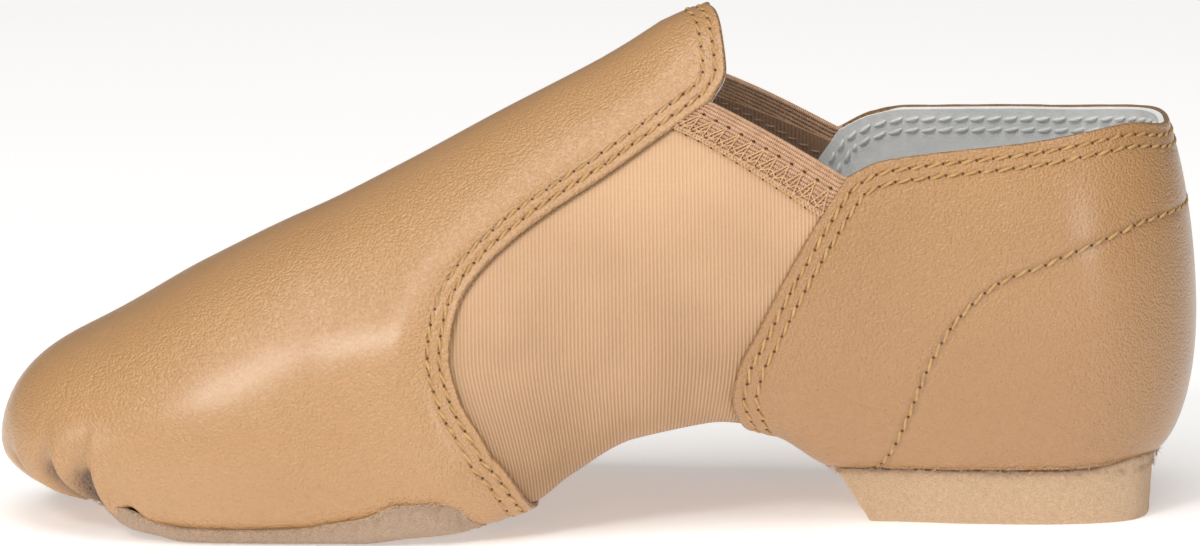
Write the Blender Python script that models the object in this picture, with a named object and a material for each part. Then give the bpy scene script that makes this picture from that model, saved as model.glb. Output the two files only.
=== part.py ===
# Right slip-on jazz shoe, empty and unbent, standing on its forefoot patch and its heel block.
# Lengths in metres. Toe to -X, heel to +X, medial side to -Y, up is +Z, the floor is Z = 0.
import math
from collections import namedtuple

import bpy
import numpy as np

# Driving sizes
LENGTH = 0.250
BALL_WIDTH = 0.086
INSTEP_HEIGHT = 0.107
HEEL_HEIGHT = 0.0115
MEDIAL_ARCH = 0.0125  # rise of the underside over the line from forefoot to heel
LATERAL_ARCH = 0.0050
TOE_SPRING = 0.0090
ELASTIC_WIDTH = 0.0092
ELASTIC_FREE = 0.0040  # part of the elastic that stands above the gore
HEEL_SLANT = 0.0080  # how far the heel breast leans forward at its top
HEEL_FLARE = 0.0008  # how much narrower the heel block is at its foot

# Thicknesses and the gap between pieces
LINING = 0.0010
LEATHER = 0.0010
ELASTIC = 0.0008
PATCH = 0.0016
INSOLE = 0.0020
GAP = 0.0003

# Plan of the last: centres of the round toe and heel, as shares of LENGTH and BALL_WIDTH
TOE_CENTRE = 0.26
TOE_SHIFT = -0.045
HEEL_CENTRE = 0.872
TOE_SQUARENESS = 2.2
HEEL_SQUARENESS = 2.5
BLOCK_SQUARENESS = 4.0

# Columns of the grid from toe tip to heel back on one side
TOE_FAN = 10
VAMP_COLUMNS = 7
GORE_COLUMNS = 6
QUARTER_COLUMNS = 5
HEEL_FAN = 8

# Rows of the grid, from the crown line down to the middle of the sole
CROWN_ROWS = 5
SIDE_ROWS = 8
MARGIN = 0.014  # how far the lasting margin reaches in under the foot

# Heel block in plan
HEEL_BREAST = 0.698
HEEL_LIP = 0.0008  # how far its top stands out past the feather edge
HEEL_STEPS = 4

SHARP = 32  # degrees above which an edge is drawn sharp

# Sections across the last: half widths and tuck as shares of BALL_WIDTH, heights of INSTEP_HEIGHT.
# The tuck is how far the feather edge lies inside the widest line.
Section = namedtuple("Section", "along medial lateral crown widest tuck")
SECTIONS = (
    Section(0.00, 0.490, 0.470, 0.490, 0.160, 0.095),
    Section(0.08, 0.490, 0.470, 0.461, 0.150, 0.095),
    Section(0.17, 0.490, 0.470, 0.513, 0.145, 0.090),
    Section(0.26, 0.490, 0.470, 0.592, 0.145, 0.080),
    Section(0.34, 0.500, 0.495, 0.683, 0.155, 0.075),
    Section(0.42, 0.475, 0.500, 0.782, 0.190, 0.085),
    Section(0.50, 0.425, 0.480, 0.877, 0.240, 0.110),
    Section(0.59, 0.380, 0.435, 0.990, 0.300, 0.135),
    Section(0.70, 0.358, 0.378, 1.056, 0.350, 0.125),
    Section(0.80, 0.360, 0.360, 1.066, 0.380, 0.080),
    Section(0.872, 0.360, 0.360, 1.066, 0.392, 0.065),
    Section(1.00, 0.360, 0.360, 1.035, 0.392, 0.115),
)

# Underside: shares of toe spring, of the climb to the heel seat and of each arch
Under = namedtuple("Under", "along spring climb arch")
UNDERSIDE = (
    Under(0.00, 1.00, 0.00, 0.00),
    Under(0.04, 0.69, 0.00, 0.00),
    Under(0.08, 0.40, 0.00, 0.00),
    Under(0.12, 0.18, 0.00, 0.00),
    Under(0.16, 0.00, 0.00, 0.00),
    Under(0.30, 0.00, 0.00, 0.00),
    Under(0.34, 0.00, 0.06, 0.04),
    Under(0.41, 0.00, 0.14, 0.07),
    Under(0.445, 0.00, 0.20, 0.20),
    Under(0.475, 0.00, 0.27, 0.55),
    Under(0.53, 0.00, 0.44, 0.97),
    Under(0.59, 0.00, 0.64, 1.00),
    Under(0.65, 0.00, 0.86, 0.64),
    Under(0.70, 0.00, 1.00, 0.00),
    Under(1.00, 0.00, 1.00, 0.00),
)

# Edges of the leather over the gore. Rise is -1 at the feather edge, 0 at the widest line and 1 at
# the collar; girth is the same but 1 at the crown; along is a share of LENGTH.
Edge = namedtuple("Edge", "rise girth along")
VAMP_EDGE = (
    Edge(-1.00, -1.000, 0.447),
    Edge(-0.55, -0.550, 0.436),
    Edge(-0.25, -0.250, 0.425),
    Edge(0.00, 0.000, 0.409),
    Edge(0.11, 0.135, 0.385),
    Edge(0.20, 0.235, 0.377),
    Edge(0.31, 0.347, 0.385),
    Edge(0.42, 0.419, 0.409),
    Edge(0.57, 0.473, 0.455),
    Edge(0.74, 0.503, 0.511),
    Edge(0.91, 0.535, 0.567),
    Edge(1.00, 0.562, 0.596),
)
QUARTER_EDGE = (
    Edge(-1.00, -1.000, 0.628),
    Edge(-0.68, -0.680, 0.619),
    Edge(-0.25, -0.250, 0.610),
    Edge(0.00, 0.000, 0.614),
    Edge(0.20, 0.068, 0.630),
    Edge(0.61, 0.197, 0.667),
    Edge(1.00, 0.323, 0.707),
)
# Free edge of the tongue above the throat
Free = namedtuple("Free", "girth medial lateral")
TONGUE_EDGE = (
    Free(0.562, 0.596, 0.596),
    Free(0.630, 0.609, 0.602),
    Free(0.740, 0.607, 0.599),
    Free(0.880, 0.603, 0.598),
    Free(1.000, 0.596, 0.596),
)

GORE_SAG = 0.05  # how far the collar dips over the gore, as a girth

# Height of the collar as shares of INSTEP_HEIGHT, over the widest line below it
Collar = namedtuple("Collar", "along medial lateral")
COLLAR = (
    Collar(0.707, 0.697, 0.708),
    Collar(0.734, 0.726, 0.740),
    Collar(0.764, 0.737, 0.753),
    Collar(0.850, 0.757, 0.752),
    Collar(0.910, 0.775, 0.749),
    Collar(0.955, 0.784, 0.753),
    Collar(1.000, 0.764, 0.764),
)

# Upper edge of the forefoot patch, as the share of the tuck that it climbs
Climb = namedtuple("Climb", "along medial lateral")
PATCH_EDGE = (
    Climb(0.00, 0.12, 0.12),
    Climb(0.06, 0.16, 0.16),
    Climb(0.10, 0.52, 0.42),
    Climb(0.16, 0.43, 0.35),
    Climb(0.22, 0.40, 0.30),
    Climb(0.27, 0.50, 0.30),
    Climb(0.35, 0.70, 0.35),
    Climb(0.40, 0.35, 0.25),
    Climb(0.46, 0.30, 0.25),
    Climb(1.00, 0.30, 0.30),
)

Paint = namedtuple("Paint", "colour roughness")
LEATHER_PAINT = Paint((0.62, 0.37, 0.17), 0.42)
GORE_PAINT = Paint((0.73, 0.48, 0.29), 0.85)
ELASTIC_PAINT = Paint((0.55, 0.33, 0.20), 0.90)
SUEDE_PAINT = Paint((0.60, 0.42, 0.26), 0.95)
SOCK_PAINT = Paint((0.70, 0.70, 0.66), 0.90)

MEDIAL = -1
LATERAL = 1
SIDE_NAMES = {MEDIAL: "medial", LATERAL: "lateral"}


def at(table, column, where):
    # Value of a column between the rows of a table, eased without overshoot
    keys = np.array([row[0] for row in table])
    values = np.array([getattr(row, column) for row in table])
    steps = np.diff(keys)
    slopes = np.diff(values) / steps
    before = np.concatenate((slopes[:1], slopes))
    after = np.concatenate((slopes, slopes[-1:]))
    turning = before * after <= 0
    total = np.where(turning, 1.0, before + after)
    tangents = np.where(turning, 0.0, 2 * before * after / total)
    low = int(np.clip(np.searchsorted(keys, where) - 1, 0, len(steps) - 1))
    share = min(max((where - keys[low]) / steps[low], 0.0), 1.0)
    rise = values[low + 1] - values[low]
    lean = tangents[low] * (1 - share) - tangents[low + 1] * share
    return float(
        values[low] + rise * share * share * (3 - 2 * share) + steps[low] * share * (1 - share) * lean
    )


def station(x):
    return x / LENGTH + 0.5


def spine(along):
    # Sideways place of the ridge: the toe swings to the medial side
    share = (HEEL_CENTRE - along) / (HEEL_CENTRE - TOE_CENTRE)
    return TOE_SHIFT * BALL_WIDTH * min(max(share, 0.0), 1.0)


def half_width(side, along):
    column = SIDE_NAMES[side]
    edge = side * at(SECTIONS, column, along) * BALL_WIDTH
    return abs(edge - spine(along))


def round_end(turn, ahead, across, squareness):
    # Reach of a squared circle, turned from its tip towards its side
    tip = (math.cos(turn) / ahead) ** squareness
    flank = (math.sin(turn) / across) ** squareness
    return (tip + flank) ** (-1 / squareness)


def underside(side, along):
    # Height of the outside of the lining under the foot
    stack = PATCH + GAP + LEATHER + GAP
    climb = HEEL_HEIGHT - PATCH
    arch = MEDIAL_ARCH if side == MEDIAL else LATERAL_ARCH
    return (
        stack
        + TOE_SPRING * at(UNDERSIDE, "spring", along)
        + climb * at(UNDERSIDE, "climb", along)
        + arch * at(UNDERSIDE, "arch", along)
    )


# A column of the grid leaves the spine at an origin and runs sideways to the widest line
Column = namedtuple("Column", "side ahead aside heading reach")


def fan_column(side, turn, centre, heading, squareness, end):
    ahead = abs(end - centre) * LENGTH
    across = half_width(side, centre)
    way = (heading * math.cos(turn), side * math.sin(turn))
    reach = round_end(turn, ahead, across, squareness)
    return Column(side, centre, spine(centre), way, reach)


def straight_column(side, along):
    return Column(side, along, spine(along), (0.0, float(side)), half_width(side, along))


def widest_station(column):
    return column.ahead + column.heading[0] * column.reach / LENGTH


def surface(column, girth):
    # Point of the last: girth is 1 at the crown, 0 at the widest line, -1 at the feather edge
    # and goes on to -2 at the middle of the sole
    tuck = at(SECTIONS, "tuck", widest_station(column)) * BALL_WIDTH
    feather = column.reach - tuck
    angle = abs(girth) * math.pi / 2
    if girth >= 0:
        out = column.reach * math.cos(angle)
    elif girth >= -1:
        out = feather + tuck * math.cos(angle)
    else:
        out = feather * (2 + girth)
    x = (column.ahead - 0.5) * LENGTH + column.heading[0] * out
    y = column.aside + column.heading[1] * out
    along = station(x)
    widest = at(SECTIONS, "widest", along) * INSTEP_HEIGHT
    crown = at(SECTIONS, "crown", along) * INSTEP_HEIGHT
    own = underside(column.side, along)
    other = underside(-column.side, along)
    if girth >= 0:
        z = widest + (crown - widest) * math.sin(angle)
    elif girth >= -1:
        z = widest - (widest - own) * math.sin(angle)
    else:
        z = own + (other - own) * (-1 - girth) / 2
    return np.array((x, y, z))


def collar_girth(column, along):
    widest = at(SECTIONS, "widest", along) * INSTEP_HEIGHT
    crown = at(SECTIONS, "crown", along) * INSTEP_HEIGHT
    height = at(COLLAR, SIDE_NAMES[column.side], along) * INSTEP_HEIGHT
    lift = min((height - widest) / (crown - widest), 0.98)
    return math.asin(lift) * 2 / math.pi


def blend(first, second, share):
    return tuple(a + (b - a) * share for a, b in zip(first, second))


def on_edge(table, rise):
    return at(table, "girth", rise), at(table, "along", rise)


STRAIGHT = VAMP_COLUMNS + GORE_COLUMNS + QUARTER_COLUMNS
HALF = TOE_FAN + STRAIGHT + HEEL_FAN
SEAM = TOE_FAN + VAMP_COLUMNS  # column on the vamp seam
FRONT = SEAM + GORE_COLUMNS  # column on the front edge of the quarter
SOLE_OPEN = SEAM - 3  # the lining is open under the forefoot before this column
PATCH_END = SEAM - 2
SEAT_OPEN = FRONT + 3  # and under the heel after this one


def fan_at(side, index):
    # Column of the round toe or heel, or nothing for the straight columns between them
    if index <= TOE_FAN:
        turn = math.pi / 2 * index / TOE_FAN
        return fan_column(side, turn, TOE_CENTRE, -1, TOE_SQUARENESS, 0.0)
    if index >= TOE_FAN + STRAIGHT:
        turn = math.pi / 2 * (HALF - index) / HEEL_FAN
        return fan_column(side, turn, HEEL_CENTRE, 1, HEEL_SQUARENESS, 1.0)
    return None


def rim_girth(side, index):
    # Girth of the collar on the columns behind the front edge of the quarter
    fan = fan_at(side, index)
    if fan:
        return collar_girth(fan, widest_station(fan))
    front = QUARTER_EDGE[-1].along
    along = front + (HEEL_CENTRE - front) * (index - FRONT) / QUARTER_COLUMNS
    return collar_girth(straight_column(side, along), along)


def evenly(rise, top):
    return rise * top if rise > 0 else rise


def straight_place(side, index, rise):
    # Girth and station at a rise on a straight column, eased between the edges on either side
    vamp = on_edge(VAMP_EDGE, rise)
    quarter = on_edge(QUARTER_EDGE, rise)
    if index <= SEAM:
        toe = (evenly(rise, VAMP_EDGE[-1].girth), TOE_CENTRE)
        return blend(toe, vamp, (index - TOE_FAN) / VAMP_COLUMNS)
    front = QUARTER_EDGE[-1].girth
    if index <= FRONT:
        share = (index - SEAM) / GORE_COLUMNS
        own = evenly(quarter[0], rim_girth(side, FRONT) / front)
        girth, along = blend(vamp, (own, quarter[1]), share)
        return girth - GORE_SAG * max(rise, 0) * share * (1 - share), along
    heel = (evenly(rise, front), HEEL_CENTRE)
    girth, along = blend(quarter, heel, (index - FRONT) / QUARTER_COLUMNS)
    return evenly(girth, rim_girth(side, index) / front), along


def column_point(side, index, rise, over=0.0):
    # Point on a numbered column: rise as in the edge tables, over from 0 at the collar to 1 at the
    # crown. The columns between toe and heel follow the edges.
    fan = fan_at(side, index)
    if fan:
        girth = evenly(rise, VAMP_EDGE[-1].girth if index <= TOE_FAN else rim_girth(side, index))
    else:
        girth, along = straight_place(side, index, rise)
    girth = min(girth, rise) if rise < -1 else girth + (1 - girth) * over
    if over and TOE_FAN < index <= SEAM:
        free = at(TONGUE_EDGE, SIDE_NAMES[side], girth)
        along = TOE_CENTRE + (free - TOE_CENTRE) * (index - TOE_FAN) / VAMP_COLUMNS
    return surface(fan or straight_column(side, along), girth)


def row_places(side, index):
    # Rise and over of one column's rows, from the middle of the sole up to the crown
    probe = 0.05
    rim = column_point(side, index, 1.0)
    below = column_point(side, index, 1.0 - probe)
    per_metre = probe / np.linalg.norm(rim - below)
    band = 1.0 - ELASTIC_WIDTH * per_metre
    edge = 1.0 - ELASTIC_FREE * per_metre
    foot = column_point(side, index, -1.0)
    middle = column_point(side, index, -2.0)
    margin = -1.0 - min(MARGIN / np.linalg.norm(foot - middle), 0.5)
    climb = at(PATCH_EDGE, SIDE_NAMES[side], station(foot[0])) - 1.0
    sole = [-2.0, (margin - 2.0) / 2, margin, -1.0]
    tuck = [climb, climb / 2, 0.0]
    wall = [band * step / SIDE_ROWS for step in range(1, SIDE_ROWS + 1)]
    rises = sole + tuck + wall + [edge, 1.0]
    return [(rise, 0.0) for rise in rises] + [
        (1.0, step / CROWN_ROWS) for step in range(1, CROWN_ROWS + 1)
    ]


# Numbers of the rows that pieces start and stop on
MIDDLE_ROW = 0
MARGIN_ROW = 2
FEATHER_ROW = 3
PATCH_ROW = 4
BAND_ROW = 6 + SIDE_ROWS
GORE_ROW = BAND_ROW + 1
COLLAR_ROW = BAND_ROW + 2
CROWN_ROW = COLLAR_ROW + CROWN_ROWS

# Columns round the shoe: out along the medial side, back along the lateral one
AROUND = 2 * HALF


def folded(place):
    # Side and column number of a place counted round the shoe
    if place <= HALF:
        return MEDIAL, place
    return LATERAL, AROUND - place


def welded(place, row):
    # Columns share one point where they meet, at the crown and in the middle of the sole
    side, index = folded(place)
    if row in (MIDDLE_ROW, CROWN_ROW):
        return min(max(index, TOE_FAN), TOE_FAN + STRAIGHT), row
    return place, row


class Grid:
    # The whole last as welded points with normals, which every shell is offset from

    def __init__(self):
        self.numbers = {}
        points = []
        for place in range(AROUND):
            side, index = folded(place)
            for row, (rise, over) in enumerate(row_places(side, index)):
                key = welded(place, row)
                if key not in self.numbers:
                    self.numbers[key] = len(points)
                    points.append(column_point(side, index, rise, over))
        self.points = np.array(points)
        self.normals = self.smooth_normals()

    def number(self, place, row):
        return self.numbers[welded(place % AROUND, row)]

    def corners(self, place, row):
        loop = (
            self.number(place, row),
            self.number(place + 1, row),
            self.number(place + 1, row + 1),
            self.number(place, row + 1),
        )
        return tuple(corner for n, corner in enumerate(loop) if corner != loop[n - 1])

    def triangles(self, place, row):
        # One cell cut along its shorter diagonal, the same way in every shell
        loop = self.corners(place, row)
        if len(loop) < 4:
            return [loop] if len(loop) == 3 else []
        corners = self.points[list(loop)]
        rising = np.linalg.norm(corners[2] - corners[0])
        falling = np.linalg.norm(corners[3] - corners[1])
        if rising <= falling:
            return [(loop[0], loop[1], loop[2]), (loop[0], loop[2], loop[3])]
        return [(loop[0], loop[1], loop[3]), (loop[1], loop[2], loop[3])]

    def smooth_normals(self):
        normals = np.zeros_like(self.points)
        for place in range(AROUND):
            for row in range(CROWN_ROW):
                loop = self.corners(place, row)
                if len(loop) < 3:
                    continue
                for n, corner in enumerate(loop):
                    here = self.points[corner]
                    onward = self.points[loop[(n + 1) % len(loop)]] - here
                    back = self.points[loop[n - 1]] - here
                    spread = (onward @ onward) * (back @ back)
                    normals[corner] += np.cross(onward, back) / spread
        return normals / np.linalg.norm(normals, axis=1)[:, None]

    def shell(self, cells, inner, thickness, drawn_in=(), skived=None):
        # Closed shell between two offsets of the grid over a set of (place, row) cells.
        # Each (place, towards) of drawn_in moves that column back from its neighbour by the gap,
        # and the skived row is pared to half the thickness.
        points = self.points.copy()
        outer = np.full(len(points), inner + thickness)
        if skived is not None:
            for place in range(AROUND):
                outer[self.number(place, skived)] -= thickness / 2
        for place, towards in drawn_in:
            for row in range(CROWN_ROW + 1):
                edge = self.number(place, row)
                step = self.points[self.number(towards, row)] - self.points[edge]
                points[edge] += step / max(np.linalg.norm(step), GAP) * GAP
        loops = [triangle for cell in sorted(cells) for triangle in self.triangles(*cell)]
        used = sorted({corner for loop in loops for corner in loop})
        place_of = {corner: n for n, corner in enumerate(used)}
        outside = [points[corner] + self.normals[corner] * outer[corner] for corner in used]
        inside = [points[corner] + self.normals[corner] * inner for corner in used]
        count = len(used)
        faces = []
        edges = set()
        for loop in loops:
            near = [place_of[corner] for corner in loop]
            faces.append(near)
            faces.append([corner + count for corner in reversed(near)])
            edges.update(zip(near, near[1:] + near[:1]))
        for start, end in sorted(edges):
            if (end, start) not in edges:
                faces.append([end, start, start + count, end + count])
        return outside + inside, faces


def cells_between(first, last, low, high):
    # Cells of both sides over a range of columns, counted from the toe tip, and of rows
    found = set()
    for row in range(low, high):
        for index in range(first, last):
            found.add((index, row))
            found.add((AROUND - 1 - index, row))
    return found


def one_side(cells, side):
    return {cell for cell in cells if (cell[0] < HALF) == (side == MEDIAL)}


def add_solid(name, shape, paint):
    points, faces = shape
    mesh = bpy.data.meshes.new(name)
    mesh.from_pydata([tuple(point) for point in points], [], faces)
    mesh.update()
    material = bpy.data.materials.new(name)
    material.use_nodes = True
    shader = material.node_tree.nodes["Principled BSDF"]
    shader.inputs["Base Color"].default_value = (*paint.colour, 1.0)
    shader.inputs["Roughness"].default_value = paint.roughness
    mesh.materials.append(material)
    mesh.shade_smooth()
    mesh.set_sharp_from_angle(angle=math.radians(SHARP))
    solid = bpy.data.objects.new(name, mesh)
    bpy.context.scene.collection.objects.link(solid)


def heel_outline(side):
    # Plan of the heel block on one side, from its breast to its back
    columns = []
    for step in range(HEEL_STEPS + 1):
        along = HEEL_BREAST + (HEEL_CENTRE - HEEL_BREAST) * step / HEEL_STEPS
        columns.append(straight_column(side, along))
    for index in range(1, HEEL_FAN + 1):
        turn = math.pi / 2 * (1 - index / HEEL_FAN)
        columns.append(fan_column(side, turn, HEEL_CENTRE, 1, BLOCK_SQUARENESS, 1.0))
    outline = []
    for column in columns:
        x, y, z = surface(column, -1.0)
        outline.append((x + column.heading[0] * HEEL_LIP, y + column.heading[1] * HEEL_LIP))
    return outline


def heel_block():
    medial = heel_outline(MEDIAL)
    lateral = heel_outline(LATERAL)
    outline = medial + lateral[-2::-1]
    back = max(x for x, y in outline)
    shorten = 1 - HEEL_SLANT / (back - medial[0][0])
    narrow = 1 - HEEL_FLARE / max(y for x, y in outline)
    foot = [(back - HEEL_FLARE - (back - x) * shorten, y * narrow, 0.0) for x, y in outline]
    seat = [(x, y, HEEL_HEIGHT) for x, y in outline]
    count = len(outline)
    faces = [list(range(count))[::-1], list(range(count, 2 * count))]
    for n in range(count):
        onward = (n + 1) % count
        faces.append([n, onward, onward + count, n + count])
    return foot + seat, faces


def add_everything():
    grid = Grid()
    sides = cells_between(0, HALF, MARGIN_ROW, GORE_ROW)
    closed_sole = cells_between(SOLE_OPEN, SEAT_OPEN, MIDDLE_ROW, MARGIN_ROW)
    vamp_top = cells_between(0, SEAM, GORE_ROW, CROWN_ROW)
    quarter_rim = cells_between(FRONT, HALF, GORE_ROW, COLLAR_ROW)
    upper = sides | closed_sole | vamp_top | quarter_rim
    add_solid("upper", grid.shell(upper, -LINING, LINING), GORE_PAINT)

    vamp = cells_between(0, SEAM, MARGIN_ROW, CROWN_ROW)
    add_solid("vamp", grid.shell(vamp, GAP, LEATHER), LEATHER_PAINT)
    quarter = cells_between(FRONT, HALF, MARGIN_ROW, COLLAR_ROW)
    quarter |= cells_between(FRONT, SEAT_OPEN, MIDDLE_ROW, MARGIN_ROW)
    add_solid("quarter", grid.shell(quarter, GAP, LEATHER), LEATHER_PAINT)

    band = cells_between(SEAM, FRONT, BAND_ROW, COLLAR_ROW)
    for side, name in SIDE_NAMES.items():
        ends = [(SEAM, SEAM + 1), (FRONT, FRONT - 1)]
        if side == LATERAL:
            ends = [(AROUND - place, AROUND - towards) for place, towards in ends]
        elastic = grid.shell(one_side(band, side), GAP, ELASTIC, drawn_in=ends)
        add_solid("elastic_" + name, elastic, ELASTIC_PAINT)

    insole = cells_between(0, HALF, MIDDLE_ROW, FEATHER_ROW)
    add_solid("insole", grid.shell(insole, -LINING - GAP - INSOLE, INSOLE), SOCK_PAINT)
    patch = cells_between(0, PATCH_END, MIDDLE_ROW, PATCH_ROW)
    patch_shell = grid.shell(patch, GAP + LEATHER + GAP, PATCH, skived=PATCH_ROW)
    add_solid("forefoot_patch", patch_shell, SUEDE_PAINT)
    add_solid("heel", heel_block(), SUEDE_PAINT)


for old in list(bpy.data.objects):
    bpy.data.objects.remove(old)
add_everything()
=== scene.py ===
import math

import bpy
import numpy as np
from mathutils import Matrix, Vector
from mathutils.bvhtree import BVHTree
from mathutils.kdtree import KDTree


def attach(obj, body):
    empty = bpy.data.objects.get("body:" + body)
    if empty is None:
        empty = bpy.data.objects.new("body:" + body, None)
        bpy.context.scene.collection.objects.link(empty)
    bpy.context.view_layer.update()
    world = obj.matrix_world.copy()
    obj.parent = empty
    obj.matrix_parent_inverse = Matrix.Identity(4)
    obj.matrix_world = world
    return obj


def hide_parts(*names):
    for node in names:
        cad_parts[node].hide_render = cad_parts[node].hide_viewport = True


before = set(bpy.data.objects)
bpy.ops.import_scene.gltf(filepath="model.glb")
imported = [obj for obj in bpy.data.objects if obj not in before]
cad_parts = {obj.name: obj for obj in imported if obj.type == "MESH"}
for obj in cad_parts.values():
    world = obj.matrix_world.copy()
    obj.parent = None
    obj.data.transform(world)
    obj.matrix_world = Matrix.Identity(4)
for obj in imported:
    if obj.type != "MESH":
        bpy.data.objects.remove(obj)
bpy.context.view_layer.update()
print("frame loaded:", ", ".join(sorted(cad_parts)))

medial, lateral = -1, 1
sideName = {medial: "medial", lateral: "lateral"}

# The last, in metres: toe to -X, heel to +X, medial side to -Y, the floor at Z = 0
last = {
    "length": 0.250,
    "ballWidth": 0.086,
    "instepHeight": 0.107,
    "heelHeight": 0.0115,
    "arch": {medial: 0.0125, lateral: 0.0050},
    "toeSpring": 0.0090,
    "stack": 0.0016 + 0.0010 + 2 * 0.0003,
    "patch": 0.0016,
    "toeCentre": 0.26,
    "toeShift": -0.045,
    "heelCentre": 0.872,
    "toeSquareness": 2.2,
    "heelSquareness": 2.5,
    "goreSag": 0.05,
}
# Column numbers from the toe tip to the back of the heel
toeFan, seam, front, heelFan, back = 10, 17, 23, 28, 36

sections = {
    "along": (0.00, 0.08, 0.17, 0.26, 0.34, 0.42, 0.50, 0.59, 0.70, 0.80, 0.872, 1.00),
    "medial": (0.490, 0.490, 0.490, 0.490, 0.500, 0.475, 0.425, 0.380, 0.358, 0.360, 0.360, 0.360),
    "lateral": (0.470, 0.470, 0.470, 0.470, 0.495, 0.500, 0.480, 0.435, 0.378, 0.360, 0.360, 0.360),
    "crown": (0.490, 0.461, 0.513, 0.592, 0.683, 0.782, 0.877, 0.990, 1.056, 1.066, 1.066, 1.035),
    "widest": (0.160, 0.150, 0.145, 0.145, 0.155, 0.190, 0.240, 0.300, 0.350, 0.380, 0.392, 0.392),
    "tuck": (0.095, 0.095, 0.090, 0.080, 0.075, 0.085, 0.110, 0.135, 0.125, 0.080, 0.065, 0.115),
}
under = {
    "along": (0, 0.04, 0.08, 0.12, 0.16, 0.30, 0.34, 0.41, 0.445, 0.475, 0.53, 0.59, 0.65, 0.70, 1.00),
    "spring": (1.00, 0.69, 0.40, 0.18, 0, 0, 0, 0, 0, 0, 0, 0, 0, 0, 0),
    "climb": (0, 0, 0, 0, 0, 0, 0.06, 0.14, 0.20, 0.27, 0.44, 0.64, 0.86, 1.00, 1.00),
    "arch": (0, 0, 0, 0, 0, 0, 0.04, 0.07, 0.20, 0.55, 0.97, 1.00, 0.64, 0, 0),
}
# Leather edges over the gore: rise is -1 at the feather edge, 0 at the widest line, 1 at the collar
vampEdge = {
    "rise": (-1.00, -0.55, -0.25, 0.00, 0.11, 0.20, 0.31, 0.42, 0.57, 0.74, 0.91, 1.00),
    "girth": (-1.000, -0.550, -0.250, 0.000, 0.135, 0.235, 0.347, 0.419, 0.473, 0.503, 0.535, 0.562),
    "along": (0.447, 0.436, 0.425, 0.409, 0.385, 0.377, 0.385, 0.409, 0.455, 0.511, 0.567, 0.596),
}
quarterEdge = {
    "rise": (-1.00, -0.68, -0.25, 0.00, 0.20, 0.61, 1.00),
    "girth": (-1.000, -0.680, -0.250, 0.000, 0.068, 0.197, 0.323),
    "along": (0.628, 0.619, 0.610, 0.614, 0.630, 0.667, 0.707),
}
tongueEdge = {
    "girth": (0.562, 0.630, 0.740, 0.880, 1.000),
    "medial": (0.596, 0.609, 0.607, 0.603, 0.596),
    "lateral": (0.596, 0.602, 0.599, 0.598, 0.596),
}
collar = {
    "along": (0.707, 0.734, 0.764, 0.850, 0.910, 0.955, 1.000),
    "medial": (0.697, 0.726, 0.737, 0.757, 0.775, 0.784, 0.764),
    "lateral": (0.708, 0.740, 0.753, 0.752, 0.749, 0.753, 0.764),
}
patchEdge = {
    "along": (0, 0.055, 0.07, 0.086, 0.10, 0.12, 0.134, 0.151, 0.20)
    + (0.25, 0.28, 0.31, 0.335, 0.369, 0.39, 0.403, 1),
    "medial": (-0.24, -0.20, -0.02, 0.16, 0.33, 0.48, 0.44, 0.34, 0.32)
    + (0.36, 0.45, 0.53, 0.64, 0.62, 0.50, 0.10, 0),
    "lateral": (-0.24, -0.20, -0.02, 0.14, 0.26, 0.36, 0.36, 0.30, 0.28)
    + (0.28, 0.30, 0.34, 0.38, 0.36, 0.28, 0.10, 0),
}


def ease(table, column, where):
    # a column of a table read between its rows, without overshoot
    keys = np.array(next(iter(table.values())))
    values = np.array(table[column])
    steps = np.diff(keys)
    slopes = np.diff(values) / steps
    before = np.concatenate((slopes[:1], slopes))
    after = np.concatenate((slopes, slopes[-1:]))
    turning = before * after <= 0
    total = np.where(turning, 1.0, before + after)
    tangents = np.where(turning, 0.0, 2 * before * after / total)
    low = np.clip(np.searchsorted(keys, where) - 1, 0, len(steps) - 1)
    share = np.clip((where - keys[low]) / steps[low], 0.0, 1.0)
    lean = tangents[low] * (1 - share) - tangents[low + 1] * share
    rise = values[low + 1] - values[low]
    return values[low] + rise * share**2 * (3 - 2 * share) + steps[low] * share * (1 - share) * lean


def spine(along):
    share = (last["heelCentre"] - along) / (last["heelCentre"] - last["toeCentre"])
    return last["toeShift"] * last["ballWidth"] * np.clip(share, 0.0, 1.0)


def halfWidth(side, along):
    return np.abs(side * ease(sections, sideName[side], along) * last["ballWidth"] - spine(along))


def underside(side, along):
    climb = last["heelHeight"] - last["patch"]
    return (
        last["stack"]
        + last["toeSpring"] * ease(under, "spring", along)
        + climb * ease(under, "climb", along)
        + last["arch"][side] * ease(under, "arch", along)
    )


def fan(side, turn, end, centre, squareness):
    # a column of the round toe or heel
    ahead = abs(end - centre) * last["length"]
    across = halfWidth(side, centre)
    tip = (np.abs(np.cos(turn)) / ahead) ** squareness
    flank = (np.abs(np.sin(turn)) / across) ** squareness
    heading = 1.0 if end > centre else -1.0
    return heading * np.cos(turn), side * np.sin(turn), (tip + flank) ** (-1 / squareness)


def columns(side, index, along):
    # where each column leaves the spine, which way it runs and how far
    turn = np.clip(index / toeFan, 0, 1) * math.pi / 2
    toe = fan(side, turn, 0.0, last["toeCentre"], last["toeSquareness"])
    turn = np.clip((back - index) / (back - heelFan), 0, 1) * math.pi / 2
    heel = fan(side, turn, 1.0, last["heelCentre"], last["heelSquareness"])
    onToe = index <= toeFan
    onHeel = index >= heelFan
    ahead = np.where(onToe, last["toeCentre"], np.where(onHeel, last["heelCentre"], along))
    wayX = np.where(onToe, toe[0], np.where(onHeel, heel[0], 0.0))
    wayY = np.where(onToe, toe[1], np.where(onHeel, heel[1], float(side)))
    reach = np.where(onToe, toe[2], np.where(onHeel, heel[2], halfWidth(side, along)))
    return ahead, wayX, wayY, reach


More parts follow.
